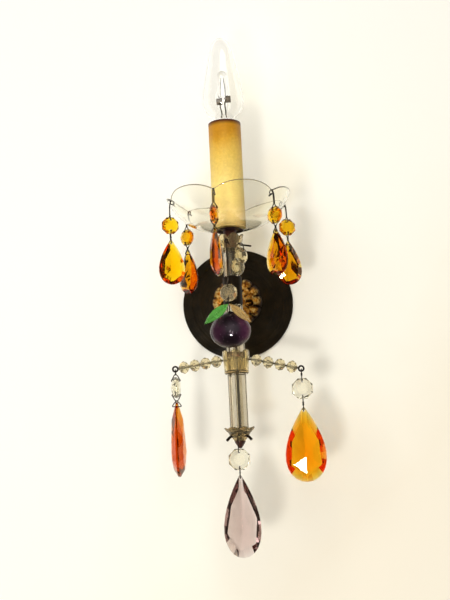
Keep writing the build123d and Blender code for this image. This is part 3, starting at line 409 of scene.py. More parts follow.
def pearShape(width, length, thickness, border, slope, turned=2, facets=7):
    # pear drop: a thin girdle, a border of facets that slope steeply, and large facets that meet where it is
    # widest; turned is how many half facets its corners stand round from the tip
    bm = bmesh.new()
    sides = facets * 4
    ring = bmesh.ops.create_circle(bm, segments=sides, radius=1.0)["verts"]
    ring.sort(key=lambda v: atan2(v.co.y, v.co.x))
    start = pi / facets * turned / 2
    for k, vert in enumerate(ring):
        vert.co = pearPoint(start + 2 * pi * k / sides, width, length)
    middle = Vector((0, -length / 6, 0))  # where the large facets meet
    low, high = thickness * 0.07, thickness * 0.36  # heights at which the border starts and may end
    edges = bm.edges[:]
    girdle = bmesh.ops.extrude_edge_only(bm, edges=edges)["geom"]
    ring = [g for g in girdle if isinstance(g, bmesh.types.BMVert)]
    edges = [g for g in girdle if isinstance(g, bmesh.types.BMEdge)]
    bmesh.ops.translate(bm, vec=(0, 0, low), verts=ring)
    crown = bmesh.ops.extrude_edge_only(bm, edges=edges)["geom"]
    ring = [g for g in crown if isinstance(g, bmesh.types.BMVert)]
    edges = [g for g in crown if isinstance(g, bmesh.types.BMEdge)]
    outline = [pearPoint(start + 2 * pi * k / sides, width, length) for k in range(sides)]
    corners = [pearPoint(start + 2 * pi * k / facets, width, length) for k in range(facets)]
    for vert in ring:
        # each border vertex goes to the straight side of the polygon between two corners
        flat = Vector((vert.co.x, vert.co.y, 0))
        k = min(range(sides), key=lambda n: (outline[n] - flat).length)
        a, b = corners[(k // 4) % facets], corners[(k // 4 + 1) % facets]
        spot = a.lerp(b, (k % 4) / 4)
        inside = middle + (spot - middle) * (1 - border / (width / 2))
        rise = (flat - inside).length * tan(radians(slope))
        vert.co = inside + Vector((0, 0, min(low + rise, high)))
    top = bmesh.ops.extrude_edge_only(bm, edges=edges)["geom"]
    ring = [g for g in top if isinstance(g, bmesh.types.BMVert)]
    bmesh.ops.pointmerge(bm, verts=ring, merge_co=middle + Vector((0, 0, thickness / 2)))
    bmesh.ops.dissolve_limit(bm, angle_limit=radians(0.4), verts=bm.verts, edges=bm.edges)
    upperHalf(bm)
    return bm


# Candle sleeve, with slightly uneven walls, a rounded lip and a card ring inside its foot
candle = {
    "radius": 14.0, "wall": 1.4, "bottom": 52.2, "top": 144.0, "unevenness": 0.12, "footBore": 9.2,
    "tone": (52.0, 144.0), "scorch": (139.5, 143.0),  # heights over which the card darkens, and is scorched
}


def candleMaterial():
    # rolled card dipped in beeswax: amber-tan, blotchy, darker towards the top and scorched at its edge
    material, tree = newMaterial("waxedCard")
    place = addNode(tree, "TexCoord").outputs["Object"]
    height = addNode(tree, "SeparateXYZ", {"Vector": place}).outputs["Z"]
    blotch = noiseAt(tree, place, 16, 4, 0.6)
    grain = noiseAt(tree, place, 2.2, 5, 0.65)
    rise = rampValue(tree, height, 0, 1, *(z * mm for z in candle["tone"]))
    drift = addNode(tree, "Math", {0: blotch, 1: 0.22, 2: rise}, operation="MULTIPLY_ADD").outputs[0]
    body = rampColour(tree, drift, (
        (0.0, "#eccc84"), (0.2, "#f2d690"), (0.5, "#f8de8a"), (0.78, "#f4cc60"), (0.93, "#e2aa34"),
        (1.0, "#ce9018"),
    ))
    edge = rampValue(tree, height, 0, 1, *(z * mm for z in candle["scorch"]))
    fleck = rampColour(tree, grain, ((0.3, "#d8d0c0"), (0.7, "#ffffff")))
    flecked = addNode(tree, "Mix", {0: 0.5, 6: body, 7: fleck}, data_type="RGBA", blend_type="MULTIPLY")
    tone = mixColour(tree, edge, flecked.outputs[2], hexColour("#4a1606"))
    shader = addNode(tree, "BsdfPrincipled", {
        "Base Color": tone,
        "Roughness": rampValue(tree, grain, 0.42, 0.6),
        "Normal": bumpFrom(tree, grain, 0.12),
        "Subsurface Weight": 0.12,
        "Subsurface Radius": (0.006, 0.003, 0.0012),
        "Subsurface Scale": 0.6,
    })
    addNode(tree, "OutputMaterial", {"Surface": shader.outputs["BSDF"]})
    return material


candleCard = candleMaterial()


def makeCandle():
    outer, inner = candle["radius"], candle["radius"] - candle["wall"]
    low, high = candle["bottom"], candle["top"]
    profile = [(outer - 0.15, low)]
    profile += [(outer - 0.15, low + 0.6 + (high - low - 1.4) * k / 60) for k in range(61)]
    profile += [(outer - 0.35, high - 0.25), (outer - 0.7, high)]
    profile += [(inner + 0.3, high), (inner, high - 0.4), (inner, low)]
    bm = spun(profile, 96)
    foot, bore = low + 0.3, candle["footBore"]
    addTo(bm, spun([(bore, foot), (inner - 0.02, foot), (inner - 0.02, foot + 0.9), (bore, foot + 0.9)], 72))
    for vert in bm.verts:
        reach = hypot(vert.co.x, vert.co.y)
        if reach > outer - 0.5:
            swell = noise.noise(Vector((vert.co.x, vert.co.y, vert.co.z * 0.6)) / 7) * candle["unevenness"]
            vert.co.x *= 1 + swell / reach
            vert.co.y *= 1 + swell / reach
    return finishPiece(
        "candleSleeve", bm, candleCard, "candle", ["candle_sleeve"], sharp=40, place=stemPlace,
    )


makeCandle()
print("candle sleeve made")

# Bulb: a thin blown shell on a rolled cap, with a halogen capsule held by two metal supports
bulb = {"radius": 17.5, "length": 78.0, "neck": 6.1, "seat": 143.0, "wall": 0.5}
bulbOutline = (  # share of the height above the seat, and share of the radius there
    (0.0, bulb["neck"] / bulb["radius"]), (0.05, 0.46), (0.13, 0.80), (0.20, 0.96), (0.27, 1.0), (0.36, 0.97),
    (0.46, 0.90), (0.65, 0.73), (0.82, 0.58), (0.90, 0.48), (0.95, 0.36), (0.985, 0.2), (1.0, 0.0),
)


def makeBulb():
    seat, wall = bulb["seat"], bulb["wall"]
    outer = smoothLine([(share * bulb["radius"], seat + up * bulb["length"]) for up, share in bulbOutline], 5)
    inner = []
    for before, here, after in zip([outer[0]] + outer, outer, outer[1:] + [outer[-1]]):
        run = (after - before).normalized()
        inward = Vector((-run.y, run.x)) * wall if here is not outer[-1] else Vector((0, -wall))
        inner.append(here + inward)
    inner = [Vector((max(p.x, 0), p.y)) for p in inner]
    foot = [Vector((bulb["neck"] - wall, seat - 3.6)), Vector((bulb["neck"], seat - 4.0))]
    bm = spun(inner[::-1] + foot + outer, 64, closed=False)
    return finishPiece(
        "bulbShell", bm, bulbGlass, "bulb", ["bulb_glass"], sharp=60, place=stemPlace,
    )


def makeCapsule():
    # the quartz capsule, and the glass stud that the supports stand in
    capsule = [
        (0, 166), (2.6, 166), (4.4, 168.5), (4.5, 175), (4.5, 184), (3.6, 188.5), (1.2, 190.6), (0, 191),
    ]
    stud = [(0, 139.5), (4.9, 139.6), (5.0, 142), (3.2, 147.5), (2.4, 151.2), (0, 151.4)]
    bm = spun(smoothLine(capsule, 4), 32, closed=False)
    addTo(bm, spun(smoothLine(stud, 4), 32, closed=False))
    return finishPiece(
        "bulbCapsule", bm, capsuleGlass, "bulb", ["bulb_mount"], sharp=40, place=stemPlace,
    )


def makeSupports():
    # two bent wires, two clamp plates at the foot of the capsule, and the filament's two legs
    bm = bmesh.new()
    runs = (
        [(-1.5, 0, 149), (-1.7, 0, 154), (-2.6, 0, 158), (-2.9, 0, 161), (-3.4, 0, 166)],
        [(1.6, 0, 149), (1.8, 0, 155), (1.2, 0, 160), (1.5, 0, 163), (2.6, 0, 167)],
    )
    for run in runs:
        addTo(bm, wireShape(run, 1.1))
    for x, z, width, height in ((-3.4, 163.6, 4.8, 4.4), (4.2, 165.4, 4.6, 4.4)):
        plate = bmesh.new()
        bmesh.ops.create_cube(plate, size=1)
        bmesh.ops.scale(plate, vec=(width, 5.6, height), verts=plate.verts)
        bmesh.ops.bevel(
            plate, geom=plate.edges[:], offset=0.25, segments=2, profile=0.5, affect="EDGES", material=-1,
        )
        addTo(bm, plate, Matrix.Translation((x, 0, z)))
    for x in (-1.4, 1.4):
        leg = [(x, 0, 167), (x * 0.9, 0, 176), (x * 0.4, 0, 184)]
        addTo(bm, wireShape(leg, 0.35, smooth=3, sides=6))
    return finishPiece("capsuleSupports", bm, nickelPlate, "bulb", place=stemPlace)


makeBulb()
makeCapsule()
makeSupports()
print("bulb made")

# Scalloped dish: a thin bowl whose rim dips to a cusp over each hole
dish = {
    "base": 22.0, "rim": 53.0, "bottom": 50.0, "height": 31.0, "wall": 2.0, "bore": 4.3, "ease": 4.5,
    "notch": 6.5, "turn": -10.5, "holeHeight": 71.5, "holeReach": 49.0,
}
holeWidth = 2.0  # of every hole drilled in glass


def circleThrough(a, b, c):
    # centre and radius of the circle through three places
    (ax, ay), (bx, by), (cx, cy) = a, b, c
    aa, bb, cc = ax * ax + ay * ay, bx * bx + by * by, cx * cx + cy * cy
    d = 2 * (ax * (by - cy) + bx * (cy - ay) + cx * (ay - by))
    ux = (aa * (by - cy) + bb * (cy - ay) + cc * (ay - by)) / d
    uy = (aa * (cx - bx) + bb * (ax - cx) + cc * (bx - ax)) / d
    return ux, uy, hypot(ax - ux, ay - uy)


def angleOf(vert):
    # degrees round the stem from the front
    return atan2(vert.co.x, -vert.co.y) * 180 / pi


def nearNotch(angle, turn):
    # 1 at each of six notches, and 0 halfway between two; the first notch is at turn
    return 1 - abs((angle - turn + 30) % 60 - 30) / 30


def cutHoles(piece, holes):
    # drills straight holes of (point, direction, diameter, depth), in millimetres
    cutter = bmesh.new()
    for point, direction, diameter, depth in holes:
        turn = Vector((0, 0, 1)).rotation_difference(direction).to_matrix().to_4x4()
        drill = bmesh.new()
        radius = diameter / 2
        bmesh.ops.create_cone(drill, cap_ends=True, segments=16, radius1=radius, radius2=radius, depth=depth)
        addTo(cutter, drill, Matrix.Translation(point) @ turn)
    bmesh.ops.scale(cutter, vec=(mm, mm, mm), verts=cutter.verts)
    bmesh.ops.recalc_face_normals(cutter, faces=cutter.faces)
    mesh = bpy.data.meshes.new("drill")
    cutter.to_mesh(mesh)
    cutter.free()
    tool = bpy.data.objects.new("drill", mesh)
    bpy.context.scene.collection.objects.link(tool)
    cut = piece.modifiers.new("holes", "BOOLEAN")
    cut.object = tool
    cut.operation = "DIFFERENCE"
    cut.solver = "EXACT"
    bpy.context.view_layer.update()
    done = bpy.data.meshes.new_from_object(piece.evaluated_get(bpy.context.evaluated_depsgraph_get()))
    piece.modifiers.clear()
    old = piece.data
    piece.data = done
    done.name = old.name
    bpy.data.meshes.remove(old)
    bpy.data.objects.remove(tool)
    bpy.data.meshes.remove(mesh)


def makeDish():
    base, rim, low, wall = dish["base"], dish["rim"], dish["bottom"], dish["wall"]
    high = low + dish["height"]
    bulge = (base + (rim - base) * 0.68, low + dish["height"] * 0.45)
    cx, cz, reach = circleThrough((base, low), bulge, (rim, high))

    def turnAt(z):
        # the angle at which the bowl's round side reaches this height
        return asin(max(-1, min(1, (z - cz) / reach)))

    def eased(flat, curve):
        # the base runs into the bowl without a corner
        return (flat + curve + sqrt((flat - curve) ** 2 + dish["ease"] ** 2)) / 2

    start, end = radians(-82), turnAt(high)
    edge = turnAt(high - 0.9)
    thin = reach - wall
    turns = [start + (edge - start) * k / 44 for k in range(45)]
    outer = [(cx + reach * cos(t), eased(low, cz + reach * sin(t))) for t in turns]
    inner = [(cx + thin * cos(t), eased(low + wall, cz + thin * sin(t))) for t in reversed(turns)]
    lip = [(cx + r * cos(t), cz + r * sin(t)) for r, t in (
        (reach - 0.12, end - 0.007), (reach - 0.5, end - 0.001), (reach - wall / 2, end),
        (thin + 0.5, end - 0.001), (thin + 0.12, end - 0.007),
    )]
    under, floor = [(dish["bore"], low), (8, low)], [(8, low + wall), (dish["bore"], low + wall)]
    bm = spun(under + outer + lip + inner + floor, 192)
    for face in bm.faces:  # the top millimetre is the ground edge
        face.material_index = 1 if min(v.co.z for v in face.verts) > high - 1 else 0
    bend = turnAt(low + 9)  # the wall is even below this, and scalloped above
    for vert in bm.verts:
        r = hypot(vert.co.x, vert.co.y)
        out = hypot(r - cx, vert.co.z - cz)
        turn = atan2(vert.co.z - cz, r - cx)
        if r > base and turn > bend and abs(out - reach + wall / 2) < wall:
            top = turnAt(high - dish["notch"] * nearNotch(angleOf(vert), dish["turn"]) ** 2.3)
            turn = bend + (turn - bend) * (top - bend) / (end - bend)
            fresh = cx + out * cos(turn)
            vert.co = Vector((vert.co.x * fresh / r, vert.co.y * fresh / r, cz + out * sin(turn)))
    piece = finishPiece(
        "scallopedDish", bm, dishGlass, "sconce", ["bobeche"], sharp=35, place=stemPlace,
    )
    piece.data.materials.append(groundRim)
    holes = []
    for k in range(6):  # one under each notch, also at the back
        angle = dish["turn"] + 60 * k
        point = stemPoint(angle, dish["holeReach"], dish["holeHeight"])
        holes.append((point, outward(angle), holeWidth, 14))
    cutHoles(piece, holes)
    piece.data.set_sharp_from_angle(angle=radians(35))
    return piece


makeDish()
print("dish made")

# Drip pan: a thin enamelled disc under the dish, turned up a little at its edge
pan = {"radius": 12.0, "bottom": 48.8, "top": 50.0, "bore": 4.2}


def makePan():
    r, low, high, bore = pan["radius"], pan["bottom"], pan["top"], pan["bore"]
    profile = [
        (bore, low + 0.1), (r - 3.6, low + 0.1), (r - 1.0, low + 0.25), (r - 0.2, low + 0.45), (r, low + 0.8),
        (r - 0.15, high - 0.15), (r - 0.5, high), (bore, high),
    ]
    bm = spun(profile, 72)
    return finishPiece(
        "dripPan", bm, darkEnamel, "sconce", ["drip_pan"], sharp=40, place=stemPlace,
    )


makePan()

# Backplate: three raised rings, each with fine ridges left by the spinning tool
plate = {
    "radius": 50.0, "middle": 25.0, "depth": 11.0, "rim": 3.0, "wall": 1.5, "rings": 3, "ridges": 3,
    "ridgeHeight": 0.12, "bore": 5.0,
}


def makeBackplate():
    step = (plate["radius"] - plate["middle"]) / plate["rings"]
    rise = (plate["depth"] - plate["rim"]) / plate["rings"]
    front = [(plate["radius"], 0), (plate["radius"], plate["rim"] - 1.2)]
    for k in range(plate["rings"]):
        outer, height = plate["radius"] - step * k, plate["rim"] + rise * k
        for j in range(37):
            share = j / 36
            swell = sin(min(share / 0.55, 1) * pi / 2)
            ridge = plate["ridgeHeight"] * (abs(sin(pi * plate["ridges"] * share)) - 1) * min(share * 6, 1)
            up = height - 0.3 * (1 - swell) + rise * share + ridge
            front.append((outer - 0.25 - (step - 0.5) * share, up))
    front += [(plate["middle"] - 1.2, plate["depth"]), (plate["bore"], plate["depth"])]
    inside, edge = plate["depth"] - plate["wall"], plate["radius"] - plate["wall"]
    back = [(plate["bore"], inside), (plate["middle"] - 2, inside), (edge, plate["wall"]), (edge, 0)]
    bm = spun(front + back, 144)
    return finishPiece(
        "ringedBackplate", bm, bronzeLacquer, "sconce", ["backplate"],
        sharp=28, place=wallPlace,
    )


makeBackplate()

# Centre boss: a cast flower of two rows of petals round a collar
boss = {
    "radius": 22.5, "back": 11.0, "front": 22.0, "collar": 7.5, "bore": 4.7, "petals": 12,
    "edge": 1.2, "dome": 5.2,  # height of the ground under the petals at the edge, and how far it domes
    "outerRow": (16.8, 5.9, 4.2), "innerRow": (11.0, 4.4, 3.6),  # middle of a row, half its width, its rise
}


def gildingMaterial():
    # bright old gilding on the petals, worn through to dark brass in the hollows and towards the edge, with
    # painted shade that leaves less gold towards the right
    material, tree = newMaterial("wornGilding")
    place = addNode(tree, "TexCoord").outputs["Object"]
    axes = addNode(tree, "SeparateXYZ", {"Vector": place})
    reach = distanceFrom(tree, axes)
    patches = noiseAt(tree, place, 3.5, 5, 0.62)
    fine = noiseAt(tree, place, 0.6, 4, 0.6)
    gold = rampColour(tree, patches, ((0.38, "#a05c10"), (0.5, "#e8a034"), (0.6, "#ffdc88")))
    # how far the casting stands out from the domed ground, lowered towards the right as painted shade from
    # the hub
    fall, middle = boss["dome"] / boss["radius"], boss["back"] + boss["edge"] + boss["dome"]
    ground = addNode(tree, "Math", {0: reach, 1: fall, 2: -middle * mm}, operation="MULTIPLY_ADD").outputs[0]
    relief = addNode(tree, "Math", {0: ground, 1: axes.outputs["Y"]}, operation="SUBTRACT").outputs[0]
    # less gold to the right: this is painted shade
    shadedRight = addNode(tree, "Math", {0: axes.outputs["X"], 1: -0.06, 2: relief}, operation="MULTIPLY_ADD")
    ragged = addNode(tree, "Math", {0: patches, 1: 0.006, 2: shadedRight.outputs[0]}, operation="MULTIPLY_ADD")
    raised = rampValue(tree, ragged.outputs[0], 0, 1, 3.6 * mm, 6.2 * mm)
    nearEdge = addNode(tree, "Math", {0: patches, 1: -0.012, 2: reach}, operation="MULTIPLY_ADD").outputs[0]
    inside = rampValue(tree, nearEdge, 1, 0, 11 * mm, 17 * mm)
    kept = addNode(tree, "Math", {0: raised, 1: inside}, operation="MULTIPLY").outputs[0]
    shader = addNode(tree, "BsdfPrincipled", {
        "Base Color": mixColour(tree, kept, hexColour("#221206"), gold),
        "Metallic": 0.45,
        "Roughness": rampValue(tree, fine, 0.24, 0.45),
        "Normal": bumpFrom(tree, fine, 0.1),
    })
    addNode(tree, "OutputMaterial", {"Surface": shader.outputs["BSDF"]})
    return material


gilding = gildingMaterial()


def petalRise(row, reach, wave):
    # wave is 1 along a petal's middle, and 0 between two petals
    middle, half, rise = row
    along = max(0, 1 - ((reach - middle) / half) ** 2)
    return rise * sqrt(along) * abs(wave) ** 0.55


def makeBoss():
    radius, back, front, collar = boss["radius"], boss["back"], boss["front"], boss["collar"]
    profile = [(boss["bore"], front - 0.3), (collar - 1.0, front), (collar, front - 0.8)]
    profile += [(collar + 0.3 + (radius - collar - 0.3) * k / 44, back + 2) for k in range(45)]
    profile += [(radius, back), (boss["bore"], back)]
    bm = spun(profile, 216)
    for vert in bm.verts:
        reach = hypot(vert.co.x, vert.co.y)
        turn = atan2(vert.co.x, vert.co.y) * boss["petals"] / 2
        if vert.co.z != front and collar + 0.2 < reach and vert.co.z > back + 1:
            dome = boss["edge"] + boss["dome"] * (1 - reach / radius)
            outerPetal = petalRise(boss["outerRow"], reach, cos(turn))
            innerPetal = petalRise(boss["innerRow"], reach, sin(turn)) + 0.8
            vert.co.z = min(back + dome + max(outerPetal, innerPetal), front - 0.3)
        if reach > radius - 2:  # the rim follows the outer petals
            edge = 1 - 0.05 * (1 - abs(cos(turn)) ** 0.6)
            vert.co.x *= edge
            vert.co.y *= edge
    return finishPiece(
        "flowerBoss", bm, gilding, "sconce", ["centre_boss"], sharp=50, place=wallPlace,
    )


makeBoss()
print("plate and boss made")

# Glass crowns: cups with six rounded petals each, and a wire hole under each notch
crowns = {
    "upper": {
        "seat": 31.5, "foot": 8.0, "rim": 11.5, "height": 14.5, "wall": 2.0, "bore": 4.2, "turn": -8.0,
        "hole": 37.5,
    },
    "middle": {
        "seat": -72.0, "foot": 10.2, "rim": 11.8, "height": 20.0, "wall": 2.0, "bore": 2.4, "turn": 30.0,
        "hole": -60.0,
    },
    "notch": 5.5,
}


def crownHoles(turn, reach, z):
    # place and angle of the six holes round a cup
    return [(stemPoint(turn + 60 * k, reach, z), turn + 60 * k) for k in range(6)]


def crownShape(values):
    seat, foot, rim, wall = values["seat"], values["foot"], values["rim"], values["wall"]
    top = seat + values["height"]
    rows = [k / 16 for k in range(17)]
    outer = [(foot + (rim - foot) * share**1.4, seat + 1 + (top - seat - 1.5) * share) for share in rows]
    inner = [(r - wall, max(z, seat + 3)) for r, z in reversed(outer)]
    profile = [(values["bore"], seat), (foot - 1, seat)] + outer
    profile += [(rim - 0.3, top - 0.15), (rim - wall / 2, top), (rim - wall + 0.3, top - 0.15)]
    profile += inner + [(values["bore"], seat + 3)]
    bm = spun(profile, 96)
    start = seat + 4  # where the petals begin
    for vert in bm.verts:
        near = nearNotch(angleOf(vert), values["turn"])
        if vert.co.z > start:
            # rounded petals with a sharp notch between them
            here = top - crowns["notch"] * (1 - sqrt(max(0, 1 - near**2)))
            vert.co.z = start + (vert.co.z - start) * (here - start) / (top - start)
        lift = max(0, (vert.co.z - seat) / (top - seat))
        pinch = 1 - 0.07 * lift * near**1.5  # drawn in under the notches
        vert.co.x *= pinch
        vert.co.y *= pinch
    return bm, crownHoles(values["turn"], foot, values["hole"])


tipCrown = {
    "rim": 12.9, "top": -115.5, "seat": -118.0, "hole": -122.5, "bottom": -127.0, "foot": 4.6, "bore": 2.4,
    "notch": 3.0, "turn": -4.0, "waist": 8.5,
}


def tipCrownShape():
    # a shallow cup with pointed petals over a cut body
    rim, top, low, seat = tipCrown["rim"], tipCrown["top"], tipCrown["bottom"], tipCrown["seat"]
    profile = [
        (tipCrown["bore"], seat), (8.2, seat), (rim - 1.2, top), (rim, top - 0.6), (rim - 1.2, top - 2.2),
        (10.2, -119.4), (8.6, -121.2), (7.4, -123.4), (5.6, -125.6), (tipCrown["foot"], low),
        (tipCrown["bore"], low),
    ]
    bm = spun(profile, 72)
    for vert in bm.verts:
        reach = hypot(vert.co.x, vert.co.y)
        near = nearNotch(angleOf(vert), tipCrown["turn"])
        if reach > tipCrown["waist"]:
            share = (reach - tipCrown["waist"]) / (rim - tipCrown["waist"])
            vert.co.z -= tipCrown["notch"] * 0.6 * share * near
            tuck = 1 - 0.16 * share * near**1.2
            vert.co.x *= tuck
            vert.co.y *= tuck
    return bm, crownHoles(tipCrown["turn"], 6, tipCrown["hole"])


def makeCrowns():
    whole = bmesh.new()
    drills = []
    for bm, holes in (crownShape(crowns["upper"]), crownShape(crowns["middle"]), tipCrownShape()):
        addTo(whole, bm)
        for point, angle in holes:
            drills.append((point, outward(angle), holeWidth, 12))
    piece = finishPiece(
        "glassCrowns", whole, crownGlass, "sconce", ["glass_crowns"],
        sharp=28, place=stemPlace,
    )
    cutHoles(piece, drills)
    piece.data.set_sharp_from_angle(angle=radians(28))
    return piece


makeCrowns()

# Glass columns: a plain tube on top and fluted tubes below
columns = {
    "upper": (10.0, 31.5, 6.75, 4.4),  # from, to, radius and bore
    "fluted": ((-54.0, -14.0), (-69.0, -58.0), (-118.0, -72.0)),  # from and to
    "radius": 7.7, "bore": 2.3, "flutes": 10, "depth": 0.5,
}


def makeColumns():
    low, high, radius, bore = columns["upper"]
    whole = spun([
        (bore, low), (radius - 0.4, low), (radius, low + 0.4), (radius, high - 0.4), (radius - 0.4, high),
        (bore, high),
    ], 64)
    radius, bore = columns["radius"], columns["bore"]
    for low, high in columns["fluted"]:
        rows = max(2, round((high - low) / 4))
        side = [(radius, low + 0.5 + (high - low - 1) * k / rows) for k in range(rows + 1)]
        profile = [(bore, low), (radius - 0.5, low)] + side + [(radius - 0.5, high), (bore, high)]
        tube = spun(profile, columns["flutes"] * 10)
        for vert in tube.verts:
            reach = hypot(vert.co.x, vert.co.y)
            if reach > radius - 1:
                crest = abs(cos(atan2(vert.co.y, vert.co.x) * columns["flutes"] / 2))
                grow = 1 - columns["depth"] * (1 - crest**0.8) / radius
                vert.co.x *= grow
                vert.co.y *= grow
        addTo(whole, tube)
    return finishPiece(
        "glassColumns", whole, columnGlass, "sconce", ["glass_columns"],
        sharp=24, place=stemPlace,
    )


makeColumns()
print("crowns and columns made")

# Branch beads: twisted bicones threaded on each branch
branch = {"start": 12.0, "height": -60.0, "count": 4, "length": 8.9, "radius": 5.4, "bore": 1.9, "eye": 2.85}
branchEyes = (Vector((-51, 0, -65)), Vector((53.5, 0, -70)))  # the rings at the ends, from the stem's axis


def beadShape(length, radius, bore, sides=8):
    # a bicone whose rings are each turned half a side on from the last, threaded by a straight bore
    bm = bmesh.new()
    mouth = bore / 2 + 0.35
    bmesh.ops.create_circle(bm, segments=sides, radius=mouth)
    edges = bm.edges[:]
    for share, reach in ((0.16, radius * 0.72), (0.5, radius), (0.84, radius * 0.72), (1.0, mouth)):
        made = bmesh.ops.extrude_edge_only(bm, edges=edges)["geom"]
        ring = [g for g in made if isinstance(g, bmesh.types.BMVert)]
        edges = [g for g in made if isinstance(g, bmesh.types.BMEdge)]
        height = sum(v.co.z for v in ring) / len(ring)
        grow = reach / hypot(ring[0].co.x, ring[0].co.y)
        bmesh.ops.scale(bm, vec=(grow, grow, 1), verts=ring)
        bmesh.ops.rotate(bm, matrix=Matrix.Rotation(pi / sides, 3, "Z"), verts=ring)
        bmesh.ops.translate(bm, vec=(0, 0, share * length - height), verts=ring)
    bmesh.ops.translate(bm, vec=(0, 0, -length / 2), verts=bm.verts)
    bmesh.ops.triangulate(bm, faces=bm.faces[:])
    ends = [e for e in bm.edges if e.is_boundary]
    bmesh.ops.extrude_edge_only(bm, edges=ends)
    rims = [e for e in bm.edges if e.is_boundary]
    verts = {v for e in rims for v in e.verts}
    for vert in verts:
        scale = bore / 2 / hypot(vert.co.x, vert.co.y)
        vert.co.x *= scale
        vert.co.y *= scale
    bmesh.ops.bridge_loops(bm, edges=rims)
    return bm


def makeBranchBeads():
    whole = bmesh.new()
    for eye in branchEyes:
        side = 1 if eye.x > 0 else -1
        elbow = Vector((side * branch["start"], 0, branch["height"]))
        along = (eye - elbow).normalized()
        pitch = ((eye - elbow).length - branch["eye"]) / branch["count"]
        turn = Vector((0, 0, 1)).rotation_difference(along).to_matrix().to_4x4()
        for k in range(branch["count"]):
            spin = Matrix.Rotation(radians(31 * k + 9 * side), 4, "Z")  # no two beads face the same way
            place = Matrix.Translation(elbow + along * pitch * (k + 0.5)) @ turn @ spin
            addTo(whole, beadShape(branch["length"], branch["radius"], branch["bore"]), place)
    return finishPiece(
        "branchBeads", whole, beadGlass, "sconce", ["branch_beads"], sharp=4, place=stemPlace,
    )


makeBranchBeads()
print("branch beads made")

# Rim hooks: a ring of thin wire through a hole of the dish and over its notch, and two strands to a bead
rimHook = {
    "wire": 0.85, "reach": 51.52, "ringReach": 48.6, "ringHeight": 73.4, "ringRadius": 2.1, "beadHole": 58.1,
    "strandTop": 0.55, "strandWaist": 0.5, "strandFoot": 3.15,  # half of the way between the two strands
    "strandHeights": (74.4, 71.5, 64.0),  # of its top, its bend over the rim, and its straight part
}


def makeRimHooks():
    whole = bmesh.new()
    wire, foot, hole, middle = rimHook["wire"], rimHook["strandFoot"], rimHook["beadHole"], rimHook["reach"]
    top, waist, around = rimHook["strandTop"], rimHook["strandWaist"], rimHook["ringRadius"]
    start, bend, straight = rimHook["strandHeights"]
    for k in range(5):
        angle = dish["turn"] + 60 * (k - 2)
        out = outward(angle)
        side = Vector((-out.y, out.x, 0))
        ring = [
            out * (rimHook["ringReach"] + around * cos(t * pi / 8))
            + Vector((0, 0, rimHook["ringHeight"] + around * sin(t * pi / 8))) + side * (0.05 * t - 0.4)
            for t in range(17)
        ]
        addTo(whole, wireShape(ring, wire, smooth=2))
        run = [  # sideways, height, and reach from the stem's axis
            (-top, start, middle - 1.6), (-top, bend, middle - 0.4), (-waist, straight, middle),
            (-waist - 0.1, hole + 4.6, middle), (-foot * 0.46, hole + 3.5, middle),
            (-foot * 0.65, hole + 2.4, middle), (-foot * 0.9, hole + 1.0, middle),
            (-foot, hole + 0.2, middle), (-foot * 0.6, hole, middle),
        ]
        run += [(-n, z, r) for n, z, r in reversed(run)]
        addTo(whole, wireShape([side * n + out * r + Vector((0, 0, z)) for n, z, r in run], wire))
    return finishPiece(
        "rimHookWires", whole, blackWire, "sconce", ["rim_hooks"], sharp=40, place=stemPlace,
    )


makeRimHooks()
print("rim hooks made")

# Octagon beads, each centred in its CAD node, with a hole near the top and one near the bottom
octagons = {"small": (14.0, 6.5, 4.6), "large": (17.0, 7.5, 5.6)}  # across, thick, and hole from the centre


def hingeFace(joint):
    # the direction a swinging crystal faces is its hinge
    return Vector(joints[joint]["axis"])


def centreOf(node):
    low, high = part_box(node)
    return (low + high) / 2 / mm


def makeOctagon(name, node, body, kind, face, material):
    across, thickness, reach = octagons[kind]
    centre = centreOf(node)
    piece = finishPiece(
        name, octagonShape(across, thickness), material, body, [node],
        sharp=2, place=facing(centre, face),
    )
    cutHoles(piece, [(centre + Vector((0, 0, up)), face, holeWidth, thickness * 2) for up in (-reach, reach)])
    piece.data.set_sharp_from_angle(angle=radians(2))
    return piece


def makeOctagons():
    for prefix, kind, material, slotName in (  # those above a pear drop
        ("rim_1", "small", goldGlass, "octagon_glass"),
        ("rim_2", "small", yellowGlass, "yellow_glass"),
        ("rim_3", "small", goldGlass, "octagon_glass"),
        ("rim_4", "small", goldGlass, "octagon_glass"),
        ("rim_5", "small", goldGlass, "octagon_glass"),
        ("left", "large", strawGlass, "octagon_glass"),
        ("right", "large", strawGlass, "octagon_glass"),
        ("centre", "large", strawGlass, "octagon_glass"),
    ):
        body = prefix + "_octagon"
        makeOctagon(
            prefix + "Octagon", prefix + "_bead", body, kind, hingeFace(body + "_swing"), material,
        )
    for name, node, body, material in (  # those on the wires by the stem
        ("leftStrandOctagon", "left_strand_bead", "left_strand", beadStraw),
        ("rightUpperOctagon", "right_strand_bead_upper", "right_strand_upper", beadStraw),
        ("rightLowerOctagon", "right_strand_bead_lower", "right_strand_lower", beadStraw),
        ("plumOctagon", "plum_bead", "plum_chain", creamGlass),
    ):
        makeOctagon(name, node, body, "small", hingeFace(body + "_swing"), material)


makeOctagons()
print("octagons made")

# Pear drops: their faces turn with their hinges, like the octagons'
drops = {
    "rim": {"width": 22.0, "length": 38.3, "thickness": 9.5, "border": 3.3, "slope": 36},
    "branch": {"width": 33.5, "length": 61.6, "thickness": 13.0, "border": 5.0, "slope": 36},
    "centre": {"width": 30.0, "length": 66.9, "thickness": 13.0, "border": 4.2, "slope": 38},
    "turned": {"rim_1": 3, "rim_4": 1, "rim_5": 3, "centre": 3},  # half facets round, where it isn't 2
    "holeEdge": 3.6,
}


